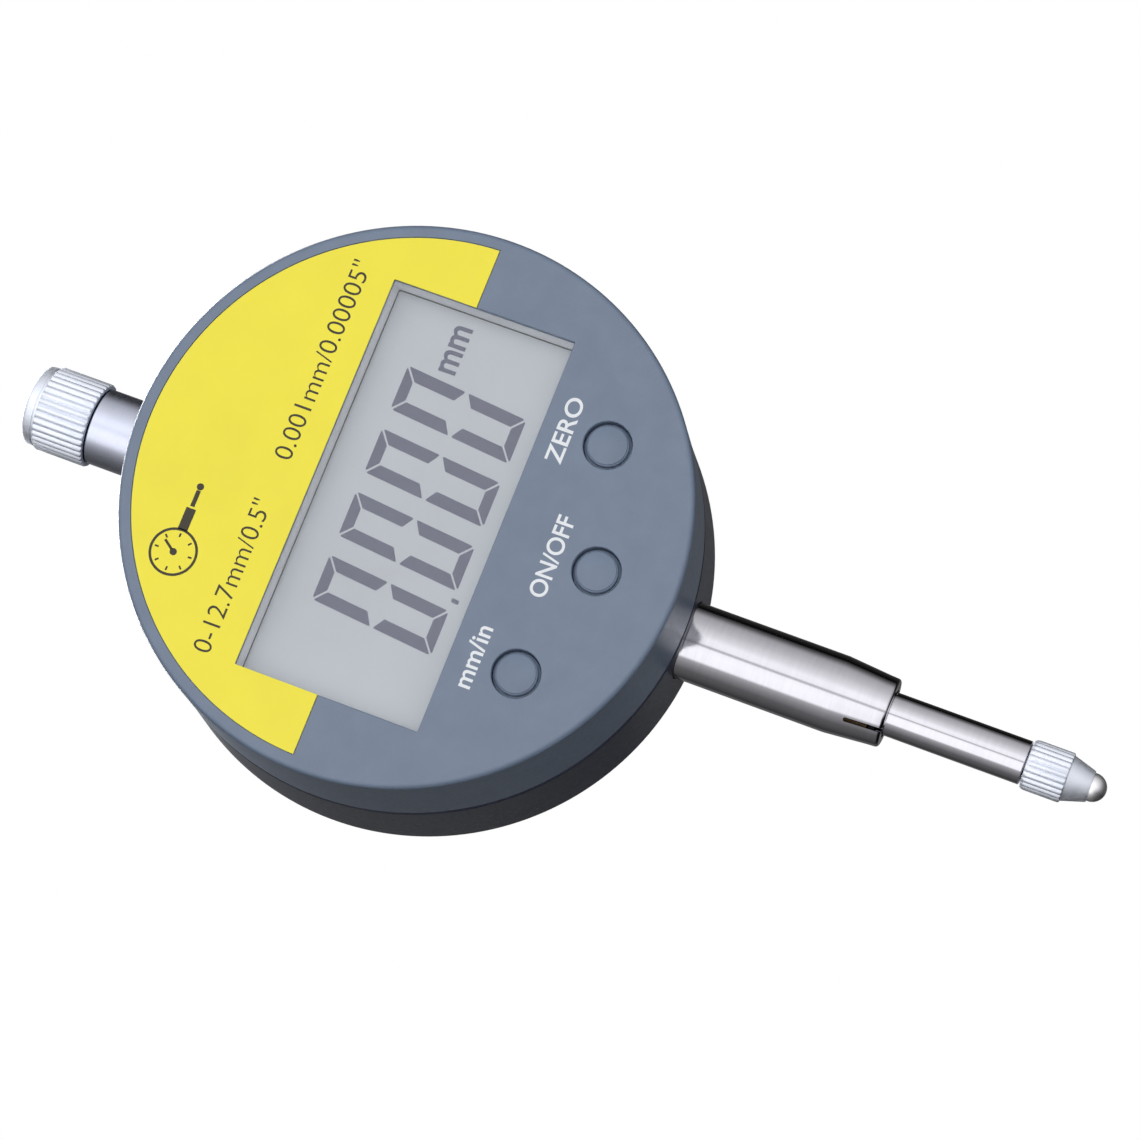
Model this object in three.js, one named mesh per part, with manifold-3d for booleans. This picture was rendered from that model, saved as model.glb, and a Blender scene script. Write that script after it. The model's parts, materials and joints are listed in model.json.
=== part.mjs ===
// Digital dial indicator with a 12.7 mm travel, as an assembly of separate pieces.
// Millimetres. The origin lies on the spindle's axis, in the middle of the clamping stem.
// +Z runs up the spindle, away from the contact point. The display faces -Y.
import * as THREE from 'three';
import { mergeVertices } from 'three/addons/utils/BufferGeometryUtils.js';
import Module from 'manifold-3d';

const wasm = await Module();
wasm.setup();

// ---------------------------------------------------------------- driving dimensions

const TRAVEL = 12.7;                // spindle travel, half an inch
const CASE_Z = 36;                  // height of the round case's centre
const FACE_Y = -17.5;               // front face of the case
const PARTING_Y = -4.9;             // joint between the front and rear shells
const REAR_RIM_Y = 7.2;             // rear rim of the rear shell
const BACK_Y = 7.7;                 // outer face of the back plate
const FRONT_R = 28.15;              // case radius behind the front edge
const PARTING_R = 28.3;             // case radius at the parting line
const REAR_R = 28.64;               // case radius at the rear, by the mould's draft
const BORE_R = 25.2;                // inside radius of both shells
const STEM_R = 4;                   // the 8 mm clamping stem, and the neck
const SPINDLE_R = 2.25;             // the 4.5 mm spindle
const STEM_BOTTOM_Z = -13.58;       // end of the stem's nose
const TAPER_Z = -7.95;              // the stem is cylindrical above this height
const SPINDLE_BOTTOM_Z = -27.75;    // shoulder of the spindle on the contact point
const TIP_Z = -36.05;               // lowest point of the ball
const NECK_TOP_Z = 72.36;           // top of the 8 mm neck
const CAP_TOP_Z = 79.8;             // top of the dust cap
const WALL = 2.5;                   // thickness of the face
const GAP = 0.1;                    // clearance between neighbouring pieces
const THREAD_GAP = 0.05;            // radial clearance of a screw in its hole

const WINDOW = { halfWidth: 20.56, low: CASE_Z - 9.68, high: CASE_Z + 9.38 };
const DISPLAY = { halfWidth: 22, front: -14, back: -12.4, overlap: 0.9 };
const LABEL = { radius: 26.78, low: CASE_Z + 0.7, recess: 0.2, thickness: 0.15 };
const BUTTON = {
  radius: 2.1, holeRadius: 2.4, flangeRadius: 2.9, stalkRadius: 1.1, grooveRadius: 1.7,
  top: -17.75, rimDrop: 0.45, grooveFront: -16.6, grooveBack: -15.9,
  flangeFront: -14.8, flangeBack: -14.2, back: -12.6,
};
const BUTTONS = [
  { name: 'zero_button', x: 12, z: CASE_Z - 16.45 },
  { name: 'on_off_button', x: 0, z: CASE_Z - 20 },
  { name: 'unit_button', x: -12, z: CASE_Z - 16.45 },
];
const BATTERY = { x: 16.6, z: CASE_Z, radius: 5.8, thickness: 5.4, front: -0.4 };
const CAP_FLANGE = { radius: 7.2, front: 6.3, back: BACK_Y - 0.2 };
const COIN_SLOT = { halfLength: 5, halfWidth: 0.7, depth: 0.9 };
const LUG = { halfThickness: 2.5, radius: 7, holeRadius: 3.25, reach: 8.3 };
const SCREW_CIRCLE = { radius: 23.2, angle: THREE.MathUtils.degToRad(35) };
const CHASSIS_POST = { x: 11.6, rise: 20, radius: 2.4, front: -3.5 };
const SPRING = { x: -7.9, radius: 1.3, wire: 0.45, low: 20.3, high: 37.7, turns: 8 };
const SPRING_PIN = { radius: 0.55, holeRadius: 0.65, front: -1.2, inset: 1.4, drop: 1.1 };
const SLIDER = { left: -5.5, right: 5.8, front: -3.4, back: 3.1, low: 18.3, high: 41 };
const GUIDE_PIN = { radius: 0.7, holeRadius: 0.75, from: 3.7, to: 8.3, z: SLIDER.low + 7.7 };
const CLAMP_SCREW = { radius: 0.6, holeRadius: 0.7, headRadius: 1.1, z: SLIDER.low + 2.7 };

// Screws: the thread's radius in its hole, the shank's, the head's, and their depths.
const CASE_SCREW = {
  threadRadius: 0.75, shankRadius: 0.95, clearRadius: 1.15, headRadius: 1.85, tip: -12.5,
  seat: 6.3, headBack: 7.4, bossRadius: 2.2, rearBossRadius: 2.4, recessRadius: 2, headEdge: 0.35,
};
const BOARD_SCREW = {
  threadRadius: 0.65, clearRadius: 0.9, headRadius: 1.4, tip: -12.8, headBack: -8.2, postRadius: 1.7,
};
const CHASSIS_SCREW = {
  threadRadius: 0.7, clearRadius: 0.9, headRadius: 1.5, tip: -0.6, headBack: 5.3, tabRadius: 1.9,
};

const SHELL_SIDES = 48;
const RING_SIDES = 30;
const ROD_SIDES = 20;
const SMALL_SIDES = 10;

// ---------------------------------------------------------------- materials

const finish = (color, roughness, metalness) =>
  new THREE.MeshStandardMaterial({ color, roughness, metalness });

const MATERIALS = {
  slateShell: finish('#7a879a', 0.55, 0),
  darkShell: finish('#282b39', 0.45, 0),
  yellowFilm: finish('#f6e850', 0.5, 0),
  greyPlastic: finish('#c9ccd4', 0.5, 0),
  clearLens: finish('#e8edf0', 0.05, 0),
  liquidCrystal: finish('#b8bcc5', 0.35, 0),
  foil: finish('#d8d8d8', 0.3, 1),
  polishedSteel: finish('#c8c9cf', 0.15, 1),
  satinNickel: finish('#c4c8d2', 0.35, 1),
  steel: finish('#9a9da3', 0.4, 1),
  bronze: finish('#b08040', 0.4, 1),
  brass: finish('#c9a64c', 0.35, 1),
  rubber: finish('#1c1d20', 0.9, 0),
  circuitBoard: finish('#2f6b45', 0.5, 0),
  blackPlastic: finish('#202226', 0.6, 0),
};

// ---------------------------------------------------------------- solids

// Turns a closed geometry into a solid that can be joined and cut.
function solid(geometry) {
  const bare = geometry.clone();
  for (const name of Object.keys(bare.attributes)) {
    if (name !== 'position') bare.deleteAttribute(name);
  }
  const merged = mergeVertices(bare, 1e-4);
  const index = merged.index.array;
  const triangles = [];
  for (let i = 0; i < index.length; i += 3) {
    const [a, b, c] = [index[i], index[i + 1], index[i + 2]];
    const collapsed = a === b || b === c || c === a;
    if (!collapsed) triangles.push(a, b, c);
  }
  return new wasm.Manifold(new wasm.Mesh({
    numProp: 3,
    vertProperties: new Float32Array(merged.attributes.position.array),
    triVerts: new Uint32Array(triangles),
  }));
}

function toGeometry(piece) {
  const mesh = piece.getMesh();
  const geometry = new THREE.BufferGeometry();
  geometry.setAttribute('position', new THREE.BufferAttribute(mesh.vertProperties, 3));
  geometry.setIndex(new THREE.BufferAttribute(mesh.triVerts, 1));
  return geometry;
}

const joined = (pieces) => pieces.reduce((whole, piece) => whole.add(piece));
const cut = (body, tools) => tools.reduce((left, tool) => left.subtract(tool), body);

function box([x0, x1], [y0, y1], [z0, z1]) {
  const geometry = new THREE.BoxGeometry(x1 - x0, y1 - y0, z1 - z0);
  geometry.translate((x0 + x1) / 2, (y0 + y1) / 2, (z0 + z1) / 2);
  return solid(geometry);
}

// Turns the lathe's own axis to the named one.
const AIM = {
  X: (geometry) => geometry.rotateZ(-Math.PI / 2),
  Y: (geometry) => geometry,
  Z: (geometry) => geometry.rotateX(Math.PI / 2),
};

// Puts a profile of [radius, height] pairs in the order that gives outward faces.
function outward(profile) {
  const area = profile.reduce((sum, [r, h], i) => {
    const [nextR, nextH] = profile[(i + 1) % profile.length];
    return sum + r * nextH - nextR * h;
  }, 0);
  return area > 0 ? profile : [...profile].reverse();
}

// A solid of revolution about an axis along X, Y or Z through the given point.
// The profile starts and ends on the axis, or else it is closed on itself here.
function turned(axis, profile, sides, [x, y, z] = [0, 0, 0]) {
  const points = outward(profile).map(([r, h]) => new THREE.Vector2(r, h));
  const onAxis = points[0].x === 0 && points[points.length - 1].x === 0;
  if (!onAxis) points.push(points[0].clone());
  const geometry = AIM[axis](new THREE.LatheGeometry(points, sides));
  geometry.translate(x, y, z);
  return solid(geometry);
}

const rod = (axis, radius, [from, to], sides, at) =>
  turned(axis, [[0, from], [radius, from], [radius, to], [0, to]], sides, at);

const tube = (axis, [inner, outer], [from, to], sides, at) =>
  turned(axis, [[inner, from], [outer, from], [outer, to], [inner, to]], sides, at);

// An outline of [x, z] points, extruded along Y.
function plate(outline, [y0, y1]) {
  const shape = new THREE.Shape(outline.map(([x, z]) => new THREE.Vector2(x, z)));
  const geometry = new THREE.ExtrudeGeometry(shape, { depth: y1 - y0, bevelEnabled: false });
  geometry.rotateX(Math.PI / 2);
  geometry.translate(0, y1, 0);
  return solid(geometry);
}

// A straight knurl: a ring of pointed teeth, extruded along Z.
function knurl(teeth, outer, root, [z0, z1]) {
  const shape = new THREE.Shape(Array.from({ length: 2 * teeth }, (_, i) => {
    const angle = (i * Math.PI) / teeth;
    const radius = i % 2 ? root : outer;
    return new THREE.Vector2(radius * Math.cos(angle), radius * Math.sin(angle));
  }));
  const geometry = new THREE.ExtrudeGeometry(shape, { depth: z1 - z0, bevelEnabled: false });
  geometry.translate(0, 0, z0);
  return solid(geometry);
}

const indicator = new THREE.Group();

function add(name, piece, material) {
  const mesh = new THREE.Mesh(toGeometry(piece), material);
  mesh.name = name;
  indicator.add(mesh);
}

// ---------------------------------------------------------------- places used by several pieces

const CASE_CENTRE = [0, 0, CASE_Z];

// The four long screws sit on one circle, clear of the display and the buttons.
const CASE_SCREWS = [[1, 1], [-1, 1], [-1, -1], [1, -1]].map(([sideX, sideZ]) => ({
  x: sideX * SCREW_CIRCLE.radius * Math.cos(SCREW_CIRCLE.angle),
  z: CASE_Z + sideZ * SCREW_CIRCLE.radius * Math.sin(SCREW_CIRCLE.angle),
}));

const BOARD_SCREWS = [
  { x: -12, z: CASE_Z + 17 },
  { x: 12, z: CASE_Z + 17 },
  { x: 0, z: CASE_Z - 14.6 },
];

const CHASSIS_POSTS = [[1, 1], [-1, 1], [-1, -1], [1, -1]].map(([sideX, sideZ]) => ({
  x: sideX * CHASSIS_POST.x,
  z: CASE_Z + sideZ * CHASSIS_POST.rise,
}));

// Only two of the four chassis posts, on one diagonal, take a screw.
const CHASSIS_SCREWS = [CHASSIS_POSTS[1], CHASSIS_POSTS[3]];

const FACE_BACK_Y = FACE_Y + WALL;
const SHELL_END_Y = PARTING_Y - GAP;
const REAR_FRONT_Y = PARTING_Y + GAP;
const BOARD = { front: -10.2, back: -9 };
const SENSOR = { left: -7, right: 6.2, front: -5.3, back: -4.15 };
const CHASSIS_PLATE = { front: 3.6, back: 4.6 };
const EAR = { left: -6.5, right: 6, front: -4.1, thickness: 1.8, clear: 18 };
const CELL_BACK_Y = BATTERY.front + BATTERY.thickness;
const BATTERY_CENTRE = [BATTERY.x, 0, BATTERY.z];
const HOOK_PIN_AT = [SPRING.x, 0, SLIDER.high - SPRING_PIN.inset];
const ANCHOR_PIN_AT = [SPRING.x, 0, SPRING.low - SPRING_PIN.drop];
const CAP_LEDGE_Y = 5.3;
const STEM_TOP_Z = CASE_Z - 20.1;
const NECK_FOOT_Z = CASE_Z + 20.8;

// ---------------------------------------------------------------- shells

function frontCover() {
  const edge = 0.85;
  const shell = turned('Y', [
    [0, FACE_Y], [FRONT_R - edge, FACE_Y],
    [FRONT_R - 0.25 * edge, FACE_Y + 0.25 * edge], [FRONT_R, FACE_Y + edge],
    [PARTING_R, SHELL_END_Y], [BORE_R, SHELL_END_Y], [BORE_R, FACE_BACK_Y], [0, FACE_BACK_Y],
  ], SHELL_SIDES, CASE_CENTRE);
  const { halfWidth, low, high } = WINDOW;
  const pocket = 0.8;
  const lip = 0.6;
  const webReach = 1.12;
  const webHalf = 1;
  const holeFloor = 1.5;
  const inside = FACE_BACK_Y + 1;
  const outside = FACE_Y - 1;
  const root = FACE_BACK_Y - 0.2;
  const bosses = CASE_SCREWS.map(({ x, z }) =>
    rod('Y', CASE_SCREW.bossRadius, [root, SHELL_END_Y], SMALL_SIDES, [x, 0, z]));
  const webs = CASE_SCREWS.map(({ x, z }) => {
    const across = [x, webReach * x].sort((a, b) => a - b);
    return box(across, [root, SHELL_END_Y], [z - webHalf, z + webHalf]);
  });
  const posts = BOARD_SCREWS.map(({ x, z }) =>
    rod('Y', BOARD_SCREW.postRadius, [root, BOARD.front - GAP], SMALL_SIDES, [x, 0, z]));
  const screwHole = (radius) => ({ x, z }) =>
    rod('Y', radius, [FACE_BACK_Y + holeFloor, 0], SMALL_SIDES, [x, 0, z]);
  return cut(joined([shell, ...bosses, ...webs, ...posts]), [
    box([-halfWidth, halfWidth], [outside, inside], [low, high]),
    box([-halfWidth - pocket, halfWidth + pocket], [FACE_Y + lip, inside],
      [low - pocket, high + pocket]),
    labelOutline(LABEL.radius + GAP, LABEL.low - GAP, [outside, FACE_Y + LABEL.recess]),
    ...BUTTONS.map(({ x, z }) =>
      rod('Y', BUTTON.holeRadius, [outside, inside], ROD_SIDES, [x, 0, z])),
    ...CASE_SCREWS.map(screwHole(CASE_SCREW.threadRadius)),
    ...BOARD_SCREWS.map(screwHole(BOARD_SCREW.threadRadius)),
  ]);
}

function rearCase() {
  const groove = { inner: 26.1, outer: 27.5, floor: REAR_FRONT_Y + 0.55 };
  const seat = { radius: 27.2, y: 5.2 };
  const chamfer = { along: 1.2, across: 0.5 };
  const ring = turned('Y', [
    [BORE_R, REAR_FRONT_Y], [groove.inner, REAR_FRONT_Y], [groove.inner, groove.floor],
    [groove.outer, groove.floor], [groove.outer, REAR_FRONT_Y], [PARTING_R, REAR_FRONT_Y],
    [REAR_R, REAR_RIM_Y - chamfer.along], [REAR_R - chamfer.across, REAR_RIM_Y],
    [seat.radius, REAR_RIM_Y], [seat.radius, seat.y], [BORE_R, seat.y],
  ], SHELL_SIDES, CASE_CENTRE);
  const block = { half: 7, front: -4.6, back: 5, near: 20.5, far: 25 };
  const across = [-block.half, block.half];
  const depth = [block.front, block.back];
  const stemBlock = box(across, depth, [CASE_Z - block.far, CASE_Z - block.near]);
  const neckBlock = box(across, depth, [CASE_Z + block.near, CASE_Z + block.far]);
  const bosses = CASE_SCREWS.map(({ x, z }) =>
    rod('Y', CASE_SCREW.rearBossRadius, [REAR_FRONT_Y, seat.y], SMALL_SIDES, [x, 0, z]));
  const posts = CHASSIS_POSTS.map(({ x, z }) =>
    rod('Y', CHASSIS_POST.radius, [CHASSIS_POST.front, CHASSIS_PLATE.front - GAP], SMALL_SIDES,
      [x, 0, z]));
  const holeR = STEM_R + GAP;
  const shankHoleR = CASE_SCREW.clearRadius - THREAD_GAP;
  const screwFloor = -1;
  return cut(joined([ring, stemBlock, neckBlock, ...bosses, ...posts]), [
    rod('Z', holeR, [0, CASE_Z - block.near + 1], RING_SIDES),
    rod('Z', holeR, [CASE_Z + block.near - 1, NECK_TOP_Z], RING_SIDES),
    ...CASE_SCREWS.map(({ x, z }) =>
      rod('Y', shankHoleR, [REAR_FRONT_Y - 1, seat.y + 1], SMALL_SIDES, [x, 0, z])),
    ...CHASSIS_SCREWS.map(({ x, z }) =>
      rod('Y', CHASSIS_SCREW.threadRadius, [screwFloor, CHASSIS_PLATE.front], SMALL_SIDES,
        [x, 0, z])),
  ]);
}

function backCover() {
  const thickness = 2.1;
  const front = BACK_Y - thickness;
  const rim = 27;
  const chamfer = 0.3;
  const disc = turned('Y', [
    [0, front], [rim, front], [rim, BACK_Y - chamfer], [rim - chamfer, BACK_Y], [0, BACK_Y],
  ], SHELL_SIDES, CASE_CENTRE);
  const { halfThickness, radius, holeRadius, reach } = LUG;
  const eyeY = BACK_Y + reach;
  const across = [-halfThickness, halfThickness];
  const eye = rod('X', radius, across, RING_SIDES, [0, eyeY, CASE_Z]);
  const web = box(across, [BACK_Y - 0.5, eyeY], [CASE_Z - radius, CASE_Z + radius]);
  const collarR = 7.9;
  const collarLength = 1.7;
  const collar = rod('Y', collarR, [front - collarLength, front + 0.5], RING_SIDES,
    BATTERY_CENTRE);
  const plugHoleR = BATTERY.radius + 0.25;
  const flangeHoleR = CAP_FLANGE.radius + 0.15;
  const outside = BACK_Y + 1;
  return cut(joined([disc, eye, web, collar]), [
    rod('X', holeRadius, [-2 * halfThickness, 2 * halfThickness], RING_SIDES, [0, eyeY, CASE_Z]),
    rod('Y', plugHoleR, [front - collarLength - 1, CAP_LEDGE_Y + 0.5], RING_SIDES,
      BATTERY_CENTRE),
    rod('Y', flangeHoleR, [CAP_LEDGE_Y, outside], RING_SIDES, BATTERY_CENTRE),
    ...CASE_SCREWS.map(({ x, z }) =>
      rod('Y', CASE_SCREW.clearRadius, [front - 1, outside], SMALL_SIDES, [x, 0, z])),
    ...CASE_SCREWS.map(({ x, z }) =>
      rod('Y', CASE_SCREW.recessRadius, [CASE_SCREW.seat, outside], ROD_SIDES, [x, 0, z])),
  ]);
}

function caseScrew({ x, z }) {
  const { shankRadius, headRadius, tip, seat, headBack, headEdge } = CASE_SCREW;
  const threadR = CASE_SCREW.threadRadius - THREAD_GAP;
  const under = seat + GAP;
  return turned('Y', [
    [0, tip], [threadR, tip], [threadR, PARTING_Y], [shankRadius, PARTING_Y],
    [shankRadius, under], [headRadius, under], [headRadius, headBack - 0.2],
    [headRadius - headEdge, headBack], [0, headBack],
  ], SMALL_SIDES, [x, 0, z]);
}

function addShells() {
  add('front_cover', frontCover(), MATERIALS.slateShell);
  add('rear_case', rearCase(), MATERIALS.darkShell);
  add('back_cover', backCover(), MATERIALS.darkShell);
  const caseRing = { radii: [26.35, 27.25], depth: [PARTING_Y + 0.05, PARTING_Y + 0.6] };
  add('case_gasket', tube('Y', caseRing.radii, caseRing.depth, RING_SIDES, CASE_CENTRE),
    MATERIALS.rubber);
  const backRing = { radii: [25.6, 26.8], depth: [5.3, 5.5] };
  add('back_gasket', tube('Y', backRing.radii, backRing.depth, RING_SIDES, CASE_CENTRE),
    MATERIALS.rubber);
  CASE_SCREWS.forEach((place, i) =>
    add(`case_screw_${i + 1}`, caseScrew(place), MATERIALS.steel));
}

// ---------------------------------------------------------------- face and display

// The overlay's outline: a disc with its lower part cut off along a straight line.
function labelOutline(radius, low, [y0, y1]) {
  const disc = rod('Y', radius, [y0, y1], SHELL_SIDES, CASE_CENTRE);
  const above = box([-radius - 1, radius + 1], [y0 - 1, y1 + 1], [low, low + 2 * radius]);
  return disc.intersect(above);
}

function faceLabel() {
  const { halfWidth, low, high } = WINDOW;
  return cut(labelOutline(LABEL.radius, LABEL.low, [FACE_Y, FACE_Y + LABEL.thickness]), [
    box([-halfWidth, halfWidth], [FACE_Y - 1, FACE_Y + 1], [low, high]),
  ]);
}

function lcdBezel() {
  const { halfWidth, low, high } = WINDOW;
  const wall = 0.7;
  const depth = [FACE_Y + 0.65, DISPLAY.front - 0.05];
  return cut(box([-halfWidth - wall, halfWidth + wall], depth, [low - wall, high + wall]), [
    box([-halfWidth, halfWidth], [FACE_Y, depth[1] + 1], [low, high]),
  ]);
}

function lcdWindow() {
  const { halfWidth, low, high } = WINDOW;
  const inset = 0.06;
  return box([-halfWidth + inset, halfWidth - inset], [FACE_Y + 0.3, FACE_Y + 1.1],
    [low + inset, high - inset]);
}

function addDisplay() {
  const { low, high } = WINDOW;
  const { halfWidth, front, back, overlap } = DISPLAY;
  add('face_label', faceLabel(), MATERIALS.yellowFilm);
  add('lcd_bezel', lcdBezel(), MATERIALS.greyPlastic);
  add('lcd_window', lcdWindow(), MATERIALS.clearLens);
  add('lcd_panel', box([-halfWidth, halfWidth], [front, back], [low - overlap, high + overlap]),
    MATERIALS.liquidCrystal);
  const foil = { halfWidth: halfWidth - 0.5, depth: [back + 0.05, back + 0.25], margin: 1.1 };
  add('lcd_reflector', box([-foil.halfWidth, foil.halfWidth], foil.depth,
    [low + foil.margin, high - foil.margin]), MATERIALS.foil);
  const zebra = { halfWidth: 20, depth: [back + 0.05, BOARD.front - 0.05], in: 0.5, out: 0.7 };
  const across = [-zebra.halfWidth, zebra.halfWidth];
  add('zebra_strip_upper', box(across, zebra.depth, [high - zebra.in, high + zebra.out]),
    MATERIALS.rubber);
  add('zebra_strip_lower', box(across, zebra.depth, [low - zebra.out, low + zebra.in]),
    MATERIALS.rubber);
}

// ---------------------------------------------------------------- buttons

// The domed cap has a groove for its seal, a flange that keeps it in, and a nose for the switch.
function buttonCap({ x, z }) {
  const { radius, grooveRadius, flangeRadius, stalkRadius, top, rimDrop } = BUTTON;
  const { grooveFront, grooveBack, flangeFront, flangeBack, back } = BUTTON;
  return turned('Y', [
    [0, top], [0.6 * radius, top + 0.12], [radius - 0.1, top + rimDrop], [radius, top + rimDrop + 0.15],
    [radius, grooveFront], [grooveRadius, grooveFront], [grooveRadius, grooveBack],
    [radius, grooveBack], [radius, flangeFront], [flangeRadius, flangeFront],
    [flangeRadius, flangeBack], [stalkRadius, flangeBack], [stalkRadius, back], [0, back],
  ], 16, [x, 0, z]);
}

const buttonSeal = ({ x, z }) =>
  tube('Y', [BUTTON.grooveRadius + 0.08, BUTTON.holeRadius - GAP],
    [BUTTON.grooveFront + GAP, BUTTON.grooveBack - GAP], 16, [x, 0, z]);

function tactSwitch({ x, z }) {
  const half = 2.2;
  const body = { front: -11.4, back: BOARD.front - 0.05 };
  const plunger = { radius: 1, front: -11.9 };
  return joined([
    box([x - half, x + half], [body.front, body.back], [z - half, z + half]),
    rod('Y', plunger.radius, [plunger.front, body.front + 0.2], SMALL_SIDES, [x, 0, z]),
  ]);
}

function addButtons() {
  for (const button of BUTTONS) {
    add(button.name, buttonCap(button), MATERIALS.slateShell);
    add(`${button.name}_seal`, buttonSeal(button), MATERIALS.rubber);
    add(`${button.name}_switch`, tactSwitch(button), MATERIALS.blackPlastic);
  }
}

// ---------------------------------------------------------------- electronics and battery

// The board's outline steps in at four corners to pass the case's screw bosses.
function mainBoard() {
  const [side, waist, shoulder] = [22.4, 16.2, 10];
  const [low, mid, high] = [10.6, 17.5, 22.4];
  const quarter = [[side, low], [waist, low], [waist, mid], [shoulder, high]];
  const mirrored = [...quarter].reverse();
  const outline = [
    ...quarter,
    ...mirrored.map(([x, z]) => [-x, z]),
    ...quarter.map(([x, z]) => [-x, -z]),
    ...mirrored.map(([x, z]) => [x, -z]),
  ];
  const board = plate(outline.map(([x, z]) => [x, CASE_Z + z]), [BOARD.front, BOARD.back]);
  return cut(board, BOARD_SCREWS.map(({ x, z }) =>
    rod('Y', BOARD_SCREW.clearRadius, [BOARD.front - 1, BOARD.back + 1], SMALL_SIDES,
      [x, 0, z])));
}

// A screw along Y with a flat head that bears on the given depth.
function shortScrew({ threadRadius, headRadius, tip, headBack }, seat, { x, z }) {
  const threadR = threadRadius - THREAD_GAP;
  return turned('Y', [
    [0, tip], [threadR, tip], [threadR, seat + 0.05], [headRadius, seat + 0.05],
    [headRadius, headBack], [0, headBack],
  ], SMALL_SIDES, [x, 0, z]);
}

// A cup for the cell on a pedestal that stands on the board.
function batteryHolder() {
  const floor = BATTERY.front - 1.2;
  const foot = BOARD.back + 0.05;
  const pedestalR = 3;
  const cup = { outer: 7, inner: 6.3, back: 3.7, floor: 0.6 };
  return turned('Y', [
    [0, foot], [pedestalR, foot], [pedestalR, floor], [cup.outer, floor], [cup.outer, cup.back],
    [cup.inner, cup.back], [cup.inner, floor + cup.floor], [0, floor + cup.floor],
  ], RING_SIDES, BATTERY_CENTRE);
}

// A coin cell: its smaller, negative side faces the board.
function batteryCell() {
  const { radius, front } = BATTERY;
  const step = 1;
  const chamfer = 0.2;
  return turned('Y', [
    [0, front], [radius - step, front], [radius, front + step],
    [radius, CELL_BACK_Y - chamfer], [radius - chamfer, CELL_BACK_Y], [0, CELL_BACK_Y],
  ], RING_SIDES, BATTERY_CENTRE);
}

// A screw cap with a plug, a flange and a coin slot.
function batteryCap() {
  const plugR = BATTERY.radius + 0.1;
  const plugFront = CELL_BACK_Y + 0.15;
  const chamfer = 0.3;
  const { radius, front, back } = CAP_FLANGE;
  const body = turned('Y', [
    [0, plugFront], [plugR, plugFront], [plugR, front], [radius, front],
    [radius, back - chamfer], [radius - chamfer, back], [0, back],
  ], RING_SIDES, BATTERY_CENTRE);
  const { x, z } = BATTERY;
  const { halfLength, halfWidth, depth } = COIN_SLOT;
  return cut(body, [
    box([x - halfLength, x + halfLength], [back - depth, back + 1], [z - halfWidth, z + halfWidth]),
  ]);
}

function addBoards() {
  add('main_pcb', mainBoard(), MATERIALS.circuitBoard);
  BOARD_SCREWS.forEach((place, i) =>
    add(`pcb_screw_${i + 1}`, shortScrew(BOARD_SCREW, BOARD.back, place), MATERIALS.steel));
  const onBoard = BOARD.back + 0.05;
  const chip = { half: 6, back: -7.5, low: CASE_Z + 3, high: CASE_Z + 15 };
  add('controller_chip', box([-chip.half, chip.half], [onBoard, chip.back],
    [chip.low, chip.high]), MATERIALS.blackPlastic);
  const plug = { half: 5, low: CASE_Z - 9, high: CASE_Z - 6.5 };
  add('board_connector', box([-plug.half, plug.half], [onBoard, SENSOR.front - GAP],
    [plug.low, plug.high]), MATERIALS.blackPlastic);
  const reach = EAR.clear + EAR.thickness;
  add('sensor_board', box([SENSOR.left, SENSOR.right], [SENSOR.front, SENSOR.back],
    [CASE_Z - reach, CASE_Z + reach]), MATERIALS.circuitBoard);
}

function addBattery() {
  add('battery_holder', batteryHolder(), MATERIALS.blackPlastic);
  const base = { radius: 3.5, depth: [-0.9, -0.5] };
  add('battery_base_contact', rod('Y', base.radius, base.depth, ROD_SIDES, BATTERY_CENTRE),
    MATERIALS.brass);
  const leaf = { gap: 0.1, thickness: 0.25, depth: [-0.5, 3.5], half: 1.1 };
  const leafX = BATTERY.x + BATTERY.radius + leaf.gap;
  add('battery_side_contact', box([leafX, leafX + leaf.thickness], leaf.depth,
    [BATTERY.z - leaf.half, BATTERY.z + leaf.half]), MATERIALS.brass);
  add('battery_cell', batteryCell(), MATERIALS.polishedSteel);
  add('battery_cap', batteryCap(), MATERIALS.darkShell);
  const seal = { radii: [6.2, 7], depth: [CAP_LEDGE_Y + 0.15, CAP_FLANGE.front - GAP] };
  add('battery_cap_seal', tube('Y', seal.radii, seal.depth, RING_SIDES, BATTERY_CENTRE),
    MATERIALS.rubber);
}

// ---------------------------------------------------------------- stem, neck and dust cap

// A thick tube with a tapered nose that three slots split.
function stem() {
  const bore = 3.1;
  const throat = 2.5;
  const lip = 0.68;
  const nose = { innerRadius: 3.3, radius: 3.55, round: 0.35 };
  const body = turned('Z', [
    [throat, STEM_BOTTOM_Z], [nose.innerRadius, STEM_BOTTOM_Z],
    [nose.radius, STEM_BOTTOM_Z + nose.round], [STEM_R, TAPER_Z], [STEM_R, STEM_TOP_Z],
    [bore, STEM_TOP_Z], [bore, STEM_BOTTOM_Z + lip], [throat, STEM_BOTTOM_Z + lip],
  ], 32);
  const slot = { width: 0.5, length: 4.1, first: -43, step: 120, count: 3 };
  const slots = Array.from({ length: slot.count }, (_, i) => {
    const geometry = new THREE.BoxGeometry(slot.width, 3, slot.length);
    geometry.translate(0, -STEM_R - 0.5, STEM_BOTTOM_Z + slot.length / 2 - 0.05);
    geometry.rotateZ(THREE.MathUtils.degToRad(slot.first + slot.step * i));
    return solid(geometry);
  });
  return cut(body, slots);
}

const BEARING_R = SPINDLE_R + 0.08;
const SPIGOT = { radius: 3.3, bore: 2.6, length: 3.8 };

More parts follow.
